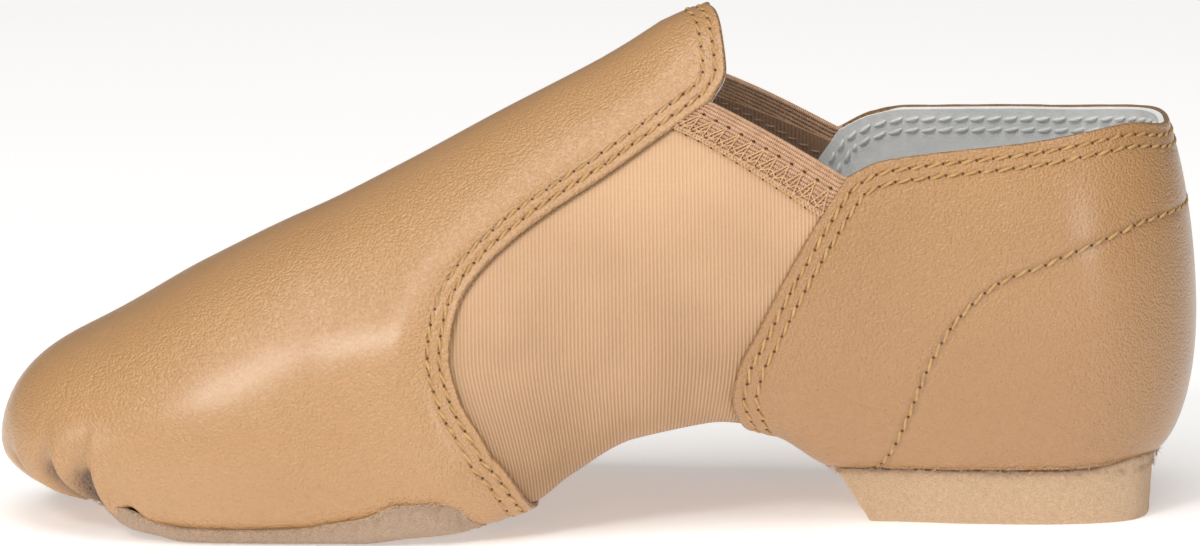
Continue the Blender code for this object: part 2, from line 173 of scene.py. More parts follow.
def surface(side, column, girth):
    ahead, wayX, wayY, reach = column
    tuck = ease(sections, "tuck", ahead + wayX * reach / last["length"]) * last["ballWidth"]
    feather = reach - tuck
    angle = np.abs(girth) * math.pi / 2
    out = np.where(
        girth >= 0,
        reach * np.cos(angle),
        np.where(girth >= -1, feather + tuck * np.cos(angle), feather * (2 + girth)),
    )
    x = (ahead - 0.5) * last["length"] + wayX * out
    y = spine(ahead) + wayY * out
    along = x / last["length"] + 0.5
    widest = ease(sections, "widest", along) * last["instepHeight"]
    crown = ease(sections, "crown", along) * last["instepHeight"]
    own = underside(side, along)
    other = underside(-side, along)
    z = np.where(
        girth >= 0,
        widest + (crown - widest) * np.sin(angle),
        np.where(
            girth >= -1,
            widest - (widest - own) * np.sin(angle),
            own + (other - own) * (-1 - girth) / 2,
        ),
    )
    return np.stack((x, y, z), axis=-1)


def evenly(rise, top):
    return np.where(rise > 0, rise * top, rise)


def rimGirth(side, index):
    # girth of the collar behind the front edge of the quarter
    edge = quarterEdge["along"][-1]
    along = edge + (last["heelCentre"] - edge) * (index - front) / (heelFan - front)
    ahead, wayX, wayY, reach = columns(side, index, along)
    along = ahead + wayX * reach / last["length"]
    widest = ease(sections, "widest", along) * last["instepHeight"]
    crown = ease(sections, "crown", along) * last["instepHeight"]
    height = ease(collar, sideName[side], along) * last["instepHeight"]
    return np.arcsin(np.clip((height - widest) / (crown - widest), 0.0, 0.98)) * 2 / math.pi


def onLast(side, index, rise, over=0.0):
    # point of the last at a column number, a rise and, above the collar, a share of the way over
    index, rise, over = np.broadcast_arrays(
        np.asarray(index, float), np.asarray(rise, float), np.asarray(over, float)
    )
    rimFront = quarterEdge["girth"][-1]
    rim = rimGirth(side, np.maximum(index, front))
    frontRim = rimGirth(side, np.array(float(front)))
    vampGirth, vampAlong = ease(vampEdge, "girth", rise), ease(vampEdge, "along", rise)
    quarterGirth, quarterAlong = ease(quarterEdge, "girth", rise), ease(quarterEdge, "along", rise)
    toToe = (index - toeFan) / (seam - toeFan)
    along = last["toeCentre"] + (vampAlong - last["toeCentre"]) * toToe
    across = (index - seam) / (front - seam)
    own = evenly(quarterGirth, frontRim / rimFront)
    sag = last["goreSag"] * np.maximum(rise, 0) * across * (1 - across)
    onGore = (index > seam) & (index <= front)
    girth = np.where(onGore, vampGirth + (own - vampGirth) * across - sag, vampGirth)
    along = np.where(onGore, vampAlong + (quarterAlong - vampAlong) * across, along)
    toHeel = (index - front) / (heelFan - front)
    heelGirth = evenly(rise, rimFront)
    behind = evenly(quarterGirth + (heelGirth - quarterGirth) * toHeel, rim / rimFront)
    girth = np.where(index > front, behind, girth)
    along = np.where(index > front, quarterAlong + (last["heelCentre"] - quarterAlong) * toHeel, along)
    girth = np.where(index >= heelFan, evenly(rise, rim), girth)
    girth = np.where(rise < -1, rise, girth + (1 - girth) * over)
    free = last["toeCentre"] + (ease(tongueEdge, sideName[side], girth) - last["toeCentre"]) * toToe
    along = np.where((over > 0) & (index > toeFan) & (index <= seam), free, along)
    return surface(side, columns(side, index, along), girth)


# Nets over the last: even steps, with closer ones towards an edge
closeSteps = np.array((1.0, 0.75, 0.55, 0.4, 0.3, 0.22, 0.15, 0.1, 0.06, 0.03, 0.01, 0.0))


def evenSteps(start, end, count):
    return np.linspace(start, end, count + 1)


def closingOn(start, edge, count):
    # even steps that end in close ones at an edge
    step = (edge - start) / count
    return np.concatenate((np.linspace(start, edge - step, count)[:-1], edge - step * closeSteps))


def unit(ways):
    return ways / np.maximum(np.linalg.norm(ways, axis=-1)[..., None], 1e-12)


def treeOf(points):
    tree = KDTree(len(points))
    for n, point in enumerate(points):
        tree.insert(point, n)
    tree.balance()
    return tree


def rowsAt(rises, overs=()):
    # rows of a net: the same rises in every column and, above the collar, shares of the way over
    rise = np.concatenate((rises, np.ones(len(overs))))
    over = np.concatenate((np.zeros(len(rises)), overs))

    def rows(side, indexes):
        shape = (len(rise), len(indexes))
        return np.broadcast_to(rise[:, None], shape), np.broadcast_to(over[:, None], shape)

    return rows


class Net:
    # a welded net of quads over both sides of the last, with its normals and its places on it

    def __init__(self, indexes, rowsOf, sides=(medial, lateral)):
        points, faces, places = [], [], []
        for side in sides:
            rise, over = rowsOf(side, indexes)
            index = np.broadcast_to(indexes, rise.shape)
            start = sum(len(part) for part in points)
            number = start + np.arange(rise.size).reshape(rise.shape)
            a, b, c, d = number[:-1, :-1], number[:-1, 1:], number[1:, 1:], number[1:, :-1]
            loop = (a, b, c, d) if side == medial else (d, c, b, a)
            faces.append(np.stack([part.ravel() for part in loop], axis=1))
            points.append(onLast(side, index, rise, over).reshape(-1, 3))
            places.append(
                np.stack((np.full(rise.size, side), index.ravel(), rise.ravel(), over.ravel()), axis=1)
            )
        points = np.concatenate(points)
        rounded = np.round(points, 7)
        _, first, numbers = np.unique(rounded, axis=0, return_index=True, return_inverse=True)
        self.points = points[first]
        self.places = np.concatenate(places)[first]
        faces = numbers.reshape(-1)[np.concatenate(faces)]
        self.faces = faces[[len(set(face)) > 2 for face in faces.tolist()]]
        self.normals = netNormals(self.points, self.faces)

    def column(self, number):
        return self.places[:, number]


def netNormals(points, faces):
    across = points[faces[:, 2]] - points[faces[:, 0]]
    along = points[faces[:, 3]] - points[faces[:, 1]]
    facing = unit(np.cross(across, along))
    normals = np.zeros_like(points)
    for corner in range(4):
        np.add.at(normals, faces[:, corner], facing)
    return unit(normals)


def openLoop(face):
    # corners of a face without those that fall together
    return [corner for n, corner in enumerate(face) if corner != face[n - 1]]


def closedFaces(faces, count):
    # faces of an outer skin, of the inner one behind it and of the rim between them
    outer = faces.tolist()
    edges = {}
    for loop in map(openLoop, outer):
        for start, end in zip(loop, loop[1:] + loop[:1]):
            edges[(start, end)] = True
    inner = [[corner + count for corner in face[::-1]] for face in outer]
    rim = [[b, a, a + count, b + count] for a, b in edges if (b, a) not in edges]
    return outer + inner + rim


def newObject(name, points, faces, material, smooth=50):
    mesh = bpy.data.meshes.new(name)
    clean = [loop for loop in map(openLoop, faces) if len(loop) > 2]
    mesh.from_pydata([tuple(point) for point in points], [], clean)
    mesh.update()
    mesh.materials.append(material)
    mesh.shade_smooth()
    mesh.set_sharp_from_angle(angle=math.radians(smooth))
    piece = bpy.data.objects.new(name, mesh)
    bpy.context.scene.collection.objects.link(piece)
    return piece


def paintUv(piece, name, values):
    # values per net point, written to the corners of the faces of both skins
    layer = piece.data.uv_layers.new(name=name)
    corners = np.empty(len(piece.data.loops), np.int32)
    piece.data.loops.foreach_get("vertex_index", corners)
    layer.data.foreach_set("uv", np.tile(values, (2, 1))[corners].astype(np.float32).ravel())


def shell(name, net, outer, inner, material, smooth=50):
    # closed skin between two offsets of a net
    outside = net.points + net.normals * outer[:, None]
    inside = net.points + net.normals * inner[:, None]
    faces = closedFaces(net.faces, len(net.points))
    return newObject(name, np.concatenate((outside, inside)), faces, material, smooth)


def distanceTo(line, points):
    tree = treeOf(line)
    return np.array([tree.find(point)[2] for point in points])


def resampled(line, partsOf):
    # a line, with what its points carry, at even places; partsOf gives the parts for its length
    line = np.asarray(line, float)
    lengths = np.concatenate(([0.0], np.cumsum(np.linalg.norm(np.diff(line[:, :3], axis=0), axis=1))))
    keep = np.concatenate(([True], np.diff(lengths) > 1e-9))
    line, lengths = line[keep], lengths[keep]
    places = np.linspace(0.0, lengths[-1], partsOf(lengths[-1]) + 1)
    return np.stack([np.interp(places, lengths, line[:, axis]) for axis in range(line.shape[1])], axis=1)


def denser(line, step=0.0002):
    # the same line with points close together
    return resampled(line, lambda length: max(int(length / step), 2))


def bell(distance, width):
    return np.exp(-((distance / width) ** 2))


def stepUp(value, low, high):
    share = np.clip((value - low) / (high - low), 0.0, 1.0)
    return share * share * (3 - 2 * share)


# Materials
def newMaterial(name):
    material = bpy.data.materials.new(name)
    material.use_nodes = True
    tree = material.node_tree
    tree.nodes.clear()
    output = tree.nodes.new("ShaderNodeOutputMaterial")
    shader = tree.nodes.new("ShaderNodeBsdfPrincipled")
    tree.links.new(shader.outputs["BSDF"], output.inputs["Surface"])
    return material, tree, shader


def addNode(tree, kind, settings=None, **inputs):
    node = tree.nodes.new(kind)
    for name, value in (settings or {}).items():
        setattr(node, name, value)
    for name, value in inputs.items():
        socket = node.inputs[int(name[1:]) if name[0] == "i" and name[1:].isdigit() else name]
        if isinstance(value, bpy.types.NodeSocket):
            tree.links.new(value, socket)
        else:
            socket.default_value = value
    return node


def placeNode(tree, scale=(1.0, 1.0, 1.0)):
    coordinates = addNode(tree, "ShaderNodeTexCoord")
    mapping = addNode(tree, "ShaderNodeMapping", Vector=coordinates.outputs["Object"], Scale=scale)
    return mapping.outputs["Vector"]


def uvNode(tree, name):
    return addNode(tree, "ShaderNodeUVMap", {"uv_map": name}).outputs["UV"]


def cloudOf(tree, where, scale, detail=3.0, rough=0.55):
    noise = addNode(tree, "ShaderNodeTexNoise", Vector=where, Scale=scale, Detail=detail, Roughness=rough)
    return noise.outputs["Fac"]


def mathOf(tree, operation, first, second=0.5):
    return addNode(tree, "ShaderNodeMath", {"operation": operation}, i0=first, i1=second).outputs[0]


def sumOf(tree, first, second, share):
    return mathOf(tree, "ADD", first, mathOf(tree, "MULTIPLY", second, share))


def mixOf(tree, share, first, colour):
    mix = addNode(tree, "ShaderNodeMix", {"data_type": "RGBA"}, i0=share, i6=first, i7=(*colour, 1.0))
    return mix.outputs[2]


def rampOf(tree, fac, stops):
    ramp = addNode(tree, "ShaderNodeValToRGB", Fac=fac)
    elements = ramp.color_ramp.elements
    while len(elements) < len(stops):
        elements.new(0.5)
    for element, (place, colour) in zip(elements, stops):
        element.position = place
        element.color = (*colour, 1.0)
    return ramp.outputs["Color"]


def rangeOf(tree, value, start, end, low, high):
    node = addNode(tree, "ShaderNodeMapRange", Value=value, i1=start, i2=end, i3=low, i4=high)
    return node.outputs["Result"]


def bumpOf(tree, height, depth, strength=1.0, under=None):
    bump = addNode(tree, "ShaderNodeBump", Height=height, Distance=depth, Strength=strength)
    if under:
        tree.links.new(under, bump.inputs["Normal"])
    return bump.outputs["Normal"]


def finished(tree, shader, colour, normal, values):
    # what the shader of a material is fed
    tree.links.new(colour, shader.inputs["Base Color"])
    if normal:
        tree.links.new(normal, shader.inputs["Normal"])
    for name, value in values.items():
        shader.inputs[name].default_value = value


leatherLook = {
    "light": (0.565, 0.306, 0.124),
    "dark": (0.525, 0.275, 0.102),
    "hollow": (0.13, 0.062, 0.022),  # painted shade in the depth of the pleats
    "seam": (0.27, 0.140, 0.052),  # painted shade along the cut edge and under the stitches
    "roughness": (0.32, 0.40),
    "gloss": {"Coat Weight": 0.60, "Coat Roughness": 0.28, "Specular IOR Level": 0.80},
    "soleShade": (0.38, 0.19, 0.066),  # painted shade, darker towards the sole
    "soleShadeHeights": (0.070, 0.014),  # where it starts and where it is full
    # where the painted shade in the pleats starts and where it is full
    "pleatShadeDepths": (0.0003, 0.0028),
    "edgeReach": 0.006,
    "pebble": 1700.0,  # cells to the metre
    "pebbleDepth": 0.00036,
    "rowWidth": 0.00042,
    "rowDepth": 0.00035,
}


def leatherMaterial(name, rows, light, dark, soleShade):
    # the layer "edge" holds the distance from the cut edge and, beside it, how deep a pleat lies
    material, tree, shader = newMaterial(name)
    where = placeNode(tree)
    plain = rampOf(tree, cloudOf(tree, where, 22.0, 4.0), ((0.3, dark), (0.7, light)))
    height = addNode(tree, "ShaderNodeSeparateXYZ", Vector=where).outputs["Z"]
    # painted shade: the leather darkens towards the sole
    low = rangeOf(tree, height, *leatherLook["soleShadeHeights"], 0.0, soleShade)
    cloud = mixOf(tree, low, plain, leatherLook["soleShade"])
    edge = addNode(tree, "ShaderNodeSeparateXYZ", Vector=uvNode(tree, "edge"))
    reach, width = leatherLook["edgeReach"], leatherLook["rowWidth"]
    # painted shade: a dark line along the cut edge and under each stitch row
    stops = [(0.0, 0.85), (0.0002 / reach, 0.55), (0.0005 / reach, 0.0)]
    for row in rows:
        stops += [((row - width) / reach, 0.0), (row / reach, 0.75), ((row + width) / reach, 0.0)]
    fromEdge = rangeOf(tree, edge.outputs["X"], 0.0, reach, 0.0, 1.0)
    lines = rampOf(tree, fromEdge, [(place, (grey, grey, grey)) for place, grey in stops])
    seam = mixOf(tree, lines, cloud, leatherLook["seam"])
    # painted shade in the pleat hollows, by their depth
    deep = rangeOf(tree, edge.outputs["Y"], *leatherLook["pleatShadeDepths"], 0.0, 0.9)
    colour = mixOf(tree, deep, seam, leatherLook["hollow"])
    rough = rangeOf(tree, cloudOf(tree, where, 60.0, 3.0), 0.3, 0.7, *leatherLook["roughness"])
    tree.links.new(rough, shader.inputs["Roughness"])
    warp = addNode(tree, "ShaderNodeTexNoise", Vector=where, Scale=900.0, Detail=2.0)
    mixed = addNode(
        tree, "ShaderNodeMix", {"data_type": "VECTOR"}, i0=0.0003, i4=where, i5=warp.outputs["Color"]
    )
    cells = addNode(
        tree,
        "ShaderNodeTexVoronoi",
        {"feature": "SMOOTH_F1"},
        Vector=mixed.outputs[1],
        Scale=leatherLook["pebble"],
        Smoothness=0.35,
    )
    fine = cloudOf(tree, where, 3600.0, 2.0)
    height = sumOf(tree, sumOf(tree, 0.0, fine, 0.30), cells.outputs["Distance"], -1.0)
    grain = bumpOf(tree, height, leatherLook["pebbleDepth"], 0.9)
    normal = bumpOf(tree, sumOf(tree, 0.0, lines, -1.0), leatherLook["rowDepth"], 0.8, grain)
    finished(tree, shader, colour, normal, leatherLook["gloss"])
    return material


vampRows, quarterRows = (0.0023, 0.0047), (0.0025, 0.0050)  # stitch rows, in metres from the edge
vampLeather = leatherMaterial("vampLeather", vampRows, leatherLook["light"], leatherLook["dark"], 0.10)
# the quarter takes a darker copy of the vamp leather as painted shade, and stronger painted shade towards
# the sole
quarterLeather = leatherMaterial(
    "quarterLeather", quarterRows, (0.500, 0.262, 0.093), (0.452, 0.229, 0.078), 0.50
)

threadLook = {"light": (0.72, 0.44, 0.185), "dark": (0.50, 0.28, 0.100), "roughness": 0.6}


def threadMaterial(name, light, dark):
    material, tree, shader = newMaterial(name)
    where = placeNode(tree)
    colour = rampOf(tree, cloudOf(tree, where, 700.0, 3.0), ((0.3, dark), (0.7, light)))
    strands = addNode(tree, "ShaderNodeTexWave", Vector=where, Scale=1900.0, Distortion=1.0)
    normal = bumpOf(tree, strands.outputs["Fac"], 0.00008, 0.6)
    finished(tree, shader, colour, normal, {"Roughness": threadLook["roughness"]})
    return material


tanThread = threadMaterial("tanThread", threadLook["light"], threadLook["dark"])
whiteThread = threadMaterial("whiteThread", (0.96, 0.96, 0.95), (0.84, 0.85, 0.84))
innerThread = threadMaterial("innerThread", (0.62, 0.40, 0.27), (0.45, 0.27, 0.17))
cordThread = threadMaterial("cordThread", (0.80, 0.53, 0.28), (0.60, 0.36, 0.17))


# needle holes are dark plugs: painted shade in the holes
def holeMaterial():
    material, tree, shader = newMaterial("needleHoles")
    cloud = cloudOf(tree, placeNode(tree), 900.0)
    colour = rampOf(tree, cloud, ((0.3, (0.11, 0.048, 0.017)), (0.7, (0.17, 0.080, 0.030))))
    finished(tree, shader, colour, None, {"Roughness": 0.9, "Specular IOR Level": 0.05})
    return material


needleHole = holeMaterial()

knitLook = {
    "light": (0.755, 0.482, 0.282),
    "dark": (0.350, 0.195, 0.100),
    "ribPitch": 0.00079,
    "courses": 0.00045,
    "depth": 0.00008,
    "heights": (0.090, 0.025),  # the collar and the foot
    "lines": (0.11, 0.30),  # painted shade between the ribs, and painted light on them, at these heights
    "shade": (0.24, -0.42),
}


def knitMaterial(name, light, dark):
    material, tree, shader = newMaterial(name)
    ribs = uvNode(tree, "ribs")  # u runs across the ribs and v up them, in metres
    split = addNode(tree, "ShaderNodeSeparateXYZ", Vector=ribs)
    turn = mathOf(tree, "MULTIPLY", split.outputs["X"], 2 * math.pi / knitLook["ribPitch"])
    rib = mathOf(tree, "SINE", turn)
    rise = mathOf(tree, "MULTIPLY", split.outputs["Y"], 2 * math.pi / knitLook["courses"])
    height = sumOf(tree, rib, mathOf(tree, "SINE", rise), 0.25)
    # painted shade between the ribs, deeper towards the foot
    contrast = rangeOf(tree, split.outputs["Y"], *knitLook["heights"], *knitLook["lines"])
    shaded = rangeOf(tree, split.outputs["Y"], *knitLook["heights"], *knitLook["shade"])
    cloud = sumOf(tree, 0.34, cloudOf(tree, placeNode(tree), 45.0, 2.0), 0.5)
    toned = sumOf(tree, sumOf(tree, cloud, mathOf(tree, "MULTIPLY", rib, contrast), 1.0), shaded, 1.0)
    colour = rampOf(tree, toned, ((0.0, dark), (1.0, light)))
    values = {"Roughness": 0.85, "Sheen Weight": 0.15, "Sheen Roughness": 0.5}
    finished(tree, shader, colour, bumpOf(tree, height, knitLook["depth"], 0.9), values)
    return material


goreKnit = knitMaterial("goreKnit", knitLook["light"], knitLook["dark"])
# the inner face takes a darker copy of the knit: painted shade
goreInside = knitMaterial("goreInside", (0.40, 0.235, 0.14), (0.28, 0.16, 0.09))

liningLook = {"light": (0.98, 0.985, 0.98), "dark": (0.86, 0.87, 0.87)}


def liningMaterial(name, light, dark):
    material, tree, shader = newMaterial(name)
    where = placeNode(tree)
    colour = rampOf(tree, cloudOf(tree, where, 260.0, 6.0, 0.7), ((0.35, dark), (0.65, light)))
    fuzz = bumpOf(tree, cloudOf(tree, where, 1500.0, 4.0, 0.7), 0.0003, 0.5)
    finished(tree, shader, colour, fuzz, {"Roughness": 0.9, "Sheen Weight": 0.3, "Sheen Roughness": 0.5})
    return material


greyLining = liningMaterial("greyLining", liningLook["light"], liningLook["dark"])
sockCloth = liningMaterial("sockCloth", (0.62, 0.64, 0.63), (0.54, 0.56, 0.56))

suedeLook = {"light": (0.99, 0.71, 0.47), "dark": (0.70, 0.45, 0.26)}


def suedeMaterial(name, light, dark):
    material, tree, shader = newMaterial(name)
    where = placeNode(tree)
    brushed = placeNode(tree, (1.0, 1.0, 2.6))  # the nap lies along the sole
    patchy = cloudOf(tree, where, 1100.0, 6.0, 0.7)
    nap = cloudOf(tree, brushed, 2700.0, 3.0, 0.75)
    mixed = sumOf(tree, sumOf(tree, 0.0, patchy, 0.22), nap, 0.8)
    colour = rampOf(tree, mixed, ((0.40, dark), (0.62, light)))
    values = {"Roughness": 0.95, "Sheen Weight": 0.20, "Sheen Roughness": 0.45}
    finished(tree, shader, colour, bumpOf(tree, nap, 0.0006, 0.9), values)
    return material


heelSuede = suedeMaterial("heelSuede", suedeLook["light"], suedeLook["dark"])
patchSuede = suedeMaterial("patchSuede", (0.74, 0.525, 0.37), (0.44, 0.295, 0.19))
looseNap = suedeMaterial("looseNap", (0.95, 0.74, 0.54), (0.78, 0.55, 0.36))

elasticLook = {"light": (0.74, 0.465, 0.30), "dark": (0.56, 0.335, 0.20), "twill": 0.00042}


def elasticMaterial(name, light, dark):
    material, tree, shader = newMaterial(name)
    band = uvNode(tree, "band")  # u runs along the elastic and v across it, in metres
    split = addNode(tree, "ShaderNodeSeparateXYZ", Vector=band)
    slant = sumOf(tree, split.outputs["X"], split.outputs["Y"], 0.45)
    twist = mathOf(tree, "SINE", mathOf(tree, "MULTIPLY", slant, 2 * math.pi / elasticLook["twill"]))
    cloud = sumOf(tree, cloudOf(tree, placeNode(tree), 500.0, 3.0), twist, 0.12)
    colour = rampOf(tree, cloud, ((0.3, dark), (0.7, light)))
    finished(tree, shader, colour, bumpOf(tree, twist, 0.00010, 0.8), {"Roughness": 0.8})
    return material


elasticWeave = elasticMaterial("elasticWeave", elasticLook["light"], elasticLook["dark"])
print("materials ready")


# Vamp: one skin of leather from the lasting margin over the toe to the tongue
vampShape = {
    "gap": 0.0003,
    "thickness": 0.0010,
    "edgeRound": 0.0007,
    "rows": vampRows,
    "rowDip": 0.00030,
    "rowWidth": 0.0007,
    "lip": 0.00012,
}
# Pleats where the leather is gathered round the toe: column and rise at the foot and at the head,
# reach towards the toe and depth in mm
toePleats = {
    medial: (
        (0.90, -1.0, 0.30, 0.06, 2.2, 1.0),
        (2.20, -1.0, 1.05, 0.06, 2.6, 2.2),
        (2.98, -1.0, 2.32, 0.17, 4.2, 3.6),
        (3.60, -1.0, 3.36, 0.17, 5.4, 4.0),
        (4.75, -0.96, 4.10, -0.50, 3.0, 3.2),
    ),
    lateral: (
        (0.60, -1.0, 0.40, 0.04, 2.2, 1.0),
        (1.60, -1.0, 1.15, 0.12, 3.2, 2.6),
        (2.50, -1.0, 2.20, 0.15, 3.8, 3.2),
        (3.40, -1.0, 3.25, 0.10, 3.6, 2.6),
        (4.40, -0.9, 3.95, -0.22, 2.6, 1.8),
    ),
}
pleatShape = {
    "reach": 0.012,
    "steep": (0.85, 1.1),  # half width of the steep side at the foot, and what the head adds
    "narrowing": 0.35,
    "lip": 0.20,
    "lipPlace": 0.9,
    "lipWidth": 1.1,
    "headFade": 0.58,
    "endFade": 2.0,
}
# Soft swells and hollows of worn leather: side, column, rise, length and height across in m, lift in m
vampSwells = (
    (medial, 14.9, 0.25, 0.020, 0.010, 0.00055),
    (medial, 15.3, -0.20, 0.012, 0.014, 0.00045),
    (medial, 12.2, 0.49, 0.020, 0.008, -0.00035),
    (medial, 7.5, 0.28, 0.016, 0.010, -0.00030),
    (medial, 9.5, -0.10, 0.030, 0.008, 0.00030),
    (lateral, 14.5, 0.16, 0.022, 0.012, 0.00050),
    (lateral, 8.0, 0.19, 0.020, 0.010, -0.00030),
)
quarterSwells = (
    (medial, 25.2, 0.35, 0.012, 0.016, -0.00040),
    (medial, 27.6, 0.62, 0.014, 0.012, 0.00040),
    (medial, 30.0, 0.10, 0.010, 0.018, 0.00035),
    (medial, 33.0, 0.30, 0.012, 0.020, -0.00035),
    (lateral, 26.0, 0.45, 0.016, 0.014, -0.00040),
    (lateral, 30.5, 0.15, 0.012, 0.018, 0.00040),
)


def seamRelief(distance, shape):
    # rounded cut edge, dips under the stitch rows and the swell between them
    share = np.clip(distance / shape["edgeRound"], 0.0, 1.0)
    rounding = -0.55 * shape["thickness"] * (1 - np.sqrt(1 - (1 - share) ** 2))
    relief = rounding
    for row in shape["rows"]:
        relief = relief - shape["rowDip"] * bell(distance - row, shape["rowWidth"])
    between = sum(shape["rows"]) / len(shape["rows"])
    return relief + shape["lip"] * bell(distance - between, 0.0009)


def pleatRelief(net):
    # lift and hollow of the pleats, soft on the toe side and steep where the next fold rolls over
    lift = np.zeros(len(net.points))
    hollow = np.zeros(len(net.points))
    low = np.nonzero((net.points[:, 2] < 0.040) & (net.points[:, 0] < -0.070))[0]
    for side, pleats in toePleats.items():
        for footColumn, footRise, headColumn, headRise, reach, depth in pleats:
            share = np.linspace(-0.15, 1, 90)
            line = onLast(
                side,
                np.maximum(footColumn + (headColumn - footColumn) * share, 0.0),
                footRise + (headRise - footRise) * share,
            )
            tree = treeOf(line)
            for n in low:
                point = net.points[n]
                _, step, distance = tree.find(point)
                if distance > pleatShape["reach"]:
                    continue
                onward = line[min(step + 1, 89)] - line[max(step - 1, 0)]
                across = np.cross(net.normals[n], onward / np.linalg.norm(onward))
                offset = float(np.dot(point - line[step], across)) * 1000 * -side
                beyond = max((distance * 1000) ** 2 - offset * offset, 0.0) ** 0.5
                up = max(share[step], 0.0)
                steep = pleatShape["steep"][0] + pleatShape["steep"][1] * up
                width = reach * (1.0 - pleatShape["narrowing"] * up) if offset > 0 else steep
                valley = math.exp(-((offset / width) ** 2))
                crest = (offset + steep + pleatShape["lipPlace"]) / pleatShape["lipWidth"]
                lip = pleatShape["lip"] * math.exp(-(crest**2))
                fade = math.exp(-((beyond / pleatShape["endFade"]) ** 2))
                fade = (1 - stepUp(up, pleatShape["headFade"], 1.0)) * fade
                lift[n] += depth * (lip - valley) * fade / 1000
                hollow[n] = max(hollow[n], depth * valley * fade / 1000)
    return lift, hollow


def swellRelief(net, swells):
    # soft forms over the last, each longer than it is high or the other way about
    lift = np.zeros(len(net.points))
    for side, column, rise, long, tall, height in swells:
        away = net.points - onLast(side, column, rise)
        flat = away[:, 0] / long
        steep = np.sqrt(away[:, 1] ** 2 + away[:, 2] ** 2) / tall
        lift += height * np.exp(-(flat**2) - steep**2)
    return lift


vampRises = np.concatenate(
    (evenSteps(-1.36, -1.0, 4), evenSteps(-1.0, 0.1, 38)[1:], evenSteps(0.1, 1.0, 28)[1:])
)
toeSteps = np.concatenate((evenSteps(0, 5.2, 116)[:-1], evenSteps(5.2, toeFan, 34)[:-1]))
vampColumns = np.concatenate((toeSteps, closingOn(toeFan, seam, 26)))
vampNet = Net(vampColumns, rowsAt(vampRises, evenSteps(0.0, 1.0, 22)[1:]))
vampRim = {}
for side in (medial, lateral):
    rises = np.concatenate((evenSteps(-1.0, 1.0, 300), np.ones(120)))
    overs = np.concatenate((np.zeros(301), evenSteps(0.0, 1.0, 119)))
    vampRim[side] = denser(onLast(side, float(seam), rises, overs))
vampEdgeDistance = distanceTo(np.concatenate(list(vampRim.values())), vampNet.points)
pleatLift, pleatHollow = pleatRelief(vampNet)
vampOuter = (
    vampShape["gap"]
    + vampShape["thickness"]
    + seamRelief(vampEdgeDistance, vampShape)
    + 0.00035 * bell(vampEdgeDistance - 0.0105, 0.0040)
    + swellRelief(vampNet, vampSwells)
    + pleatLift
)
vamp = shell(
    "vampLeather", vampNet, vampOuter, np.minimum(vampShape["gap"], vampOuter - 0.0004), vampLeather
)
# the pleat depth goes to the layer as the mask of the painted shade in the pleats
edgeUv = np.stack((vampEdgeDistance, pleatHollow), axis=1)
paintUv(vamp, "edge", edgeUv)
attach(vamp, "root")
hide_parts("vamp")
print("vamp:", len(vamp.data.polygons), "faces")

# Quarter: leather round the heel, closed under the waist, with a double row along rim and front
quarterShape = {**vampShape, "rows": quarterRows, "rowDip": 0.00028, "counterDip": 0.00025}
counterLine = {  # column and rise of the counter seam, from the heel back down to the sole
    "step": (0.0, 1.0, 2.0, 3.0, 4.0, 5.0, 6.0, 7.0, 8.0, 9.0),
    "column": (36.0, 34.0, 31.9, 29.6, 28.0, 27.05, 26.55, 26.12, 25.75, 25.10),
    "rise": (0.560, 0.550, 0.515, 0.425, 0.345, 0.250, 0.110, -0.120, -0.420, -0.950),
}
quarterRises = np.concatenate(
    (evenSteps(-2.0, -1.0, 8), evenSteps(-1.0, 0.0, 26)[1:], closingOn(0.0, 1.0, 34)[1:])
)
frontSteps = front + (front + 0.5 - front) * (1 - closingOn(0.0, 1.0, 3))[::-1]
quarterNet = Net(np.concatenate((frontSteps[:-1], evenSteps(front + 0.5, back, 84))), rowsAt(quarterRises))
quarterRim, frontLine = {}, {}
for side in (medial, lateral):
    frontLine[side] = onLast(side, float(front), evenSteps(-1.0, 1.0, 300))
    rimLine = onLast(side, evenSteps(front, back, 400), 1.0)
    quarterRim[side] = denser(np.concatenate((frontLine[side], rimLine[1:])))
quarterEdgeDistance = distanceTo(np.concatenate(list(quarterRim.values())), quarterNet.points)
steps = evenSteps(0.0, counterLine["step"][-1], 500)
counterColumns = ease(counterLine, "column", steps)
counterRises = ease(counterLine, "rise", steps)
counterPath = {side: denser(onLast(side, counterColumns, counterRises)) for side in (medial, lateral)}
counterDistance = distanceTo(np.concatenate(list(counterPath.values())), quarterNet.points)
quarterOuter = (
    quarterShape["gap"]
    + quarterShape["thickness"]
    + seamRelief(quarterEdgeDistance, quarterShape)
    - quarterShape["counterDip"] * bell(counterDistance, 0.0008)
    + swellRelief(quarterNet, quarterSwells)
)
quarter = shell(
    "quarterLeather",
    quarterNet,
    quarterOuter,
    np.minimum(quarterShape["gap"], quarterOuter - 0.0004),
    quarterLeather,
)
# painted shade along the counter seam, through the channel of the pleat shade
edgeUv = np.stack((quarterEdgeDistance, 0.0016 * bell(counterDistance, 0.0009)), axis=1)
paintUv(quarter, "edge", edgeUv)
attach(quarter, "root")
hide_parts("quarter")
print("quarter:", len(quarter.data.polygons), "faces")


# Gore: ribbed knit between vamp and quarter, over a dark inner face whose colour is painted shade
def ribUv(points):
    # the ribs stand upright and draw together under the foot
    low = stepUp(-points[:, 2], -0.040, -0.008)
    middle = 0.008
    across = middle + (points[:, 0] - middle) * (1 + 0.22 * low)
    up = points[:, 2] + 0.6 * np.abs(points[:, 1])
    return np.stack((across, up), axis=1)


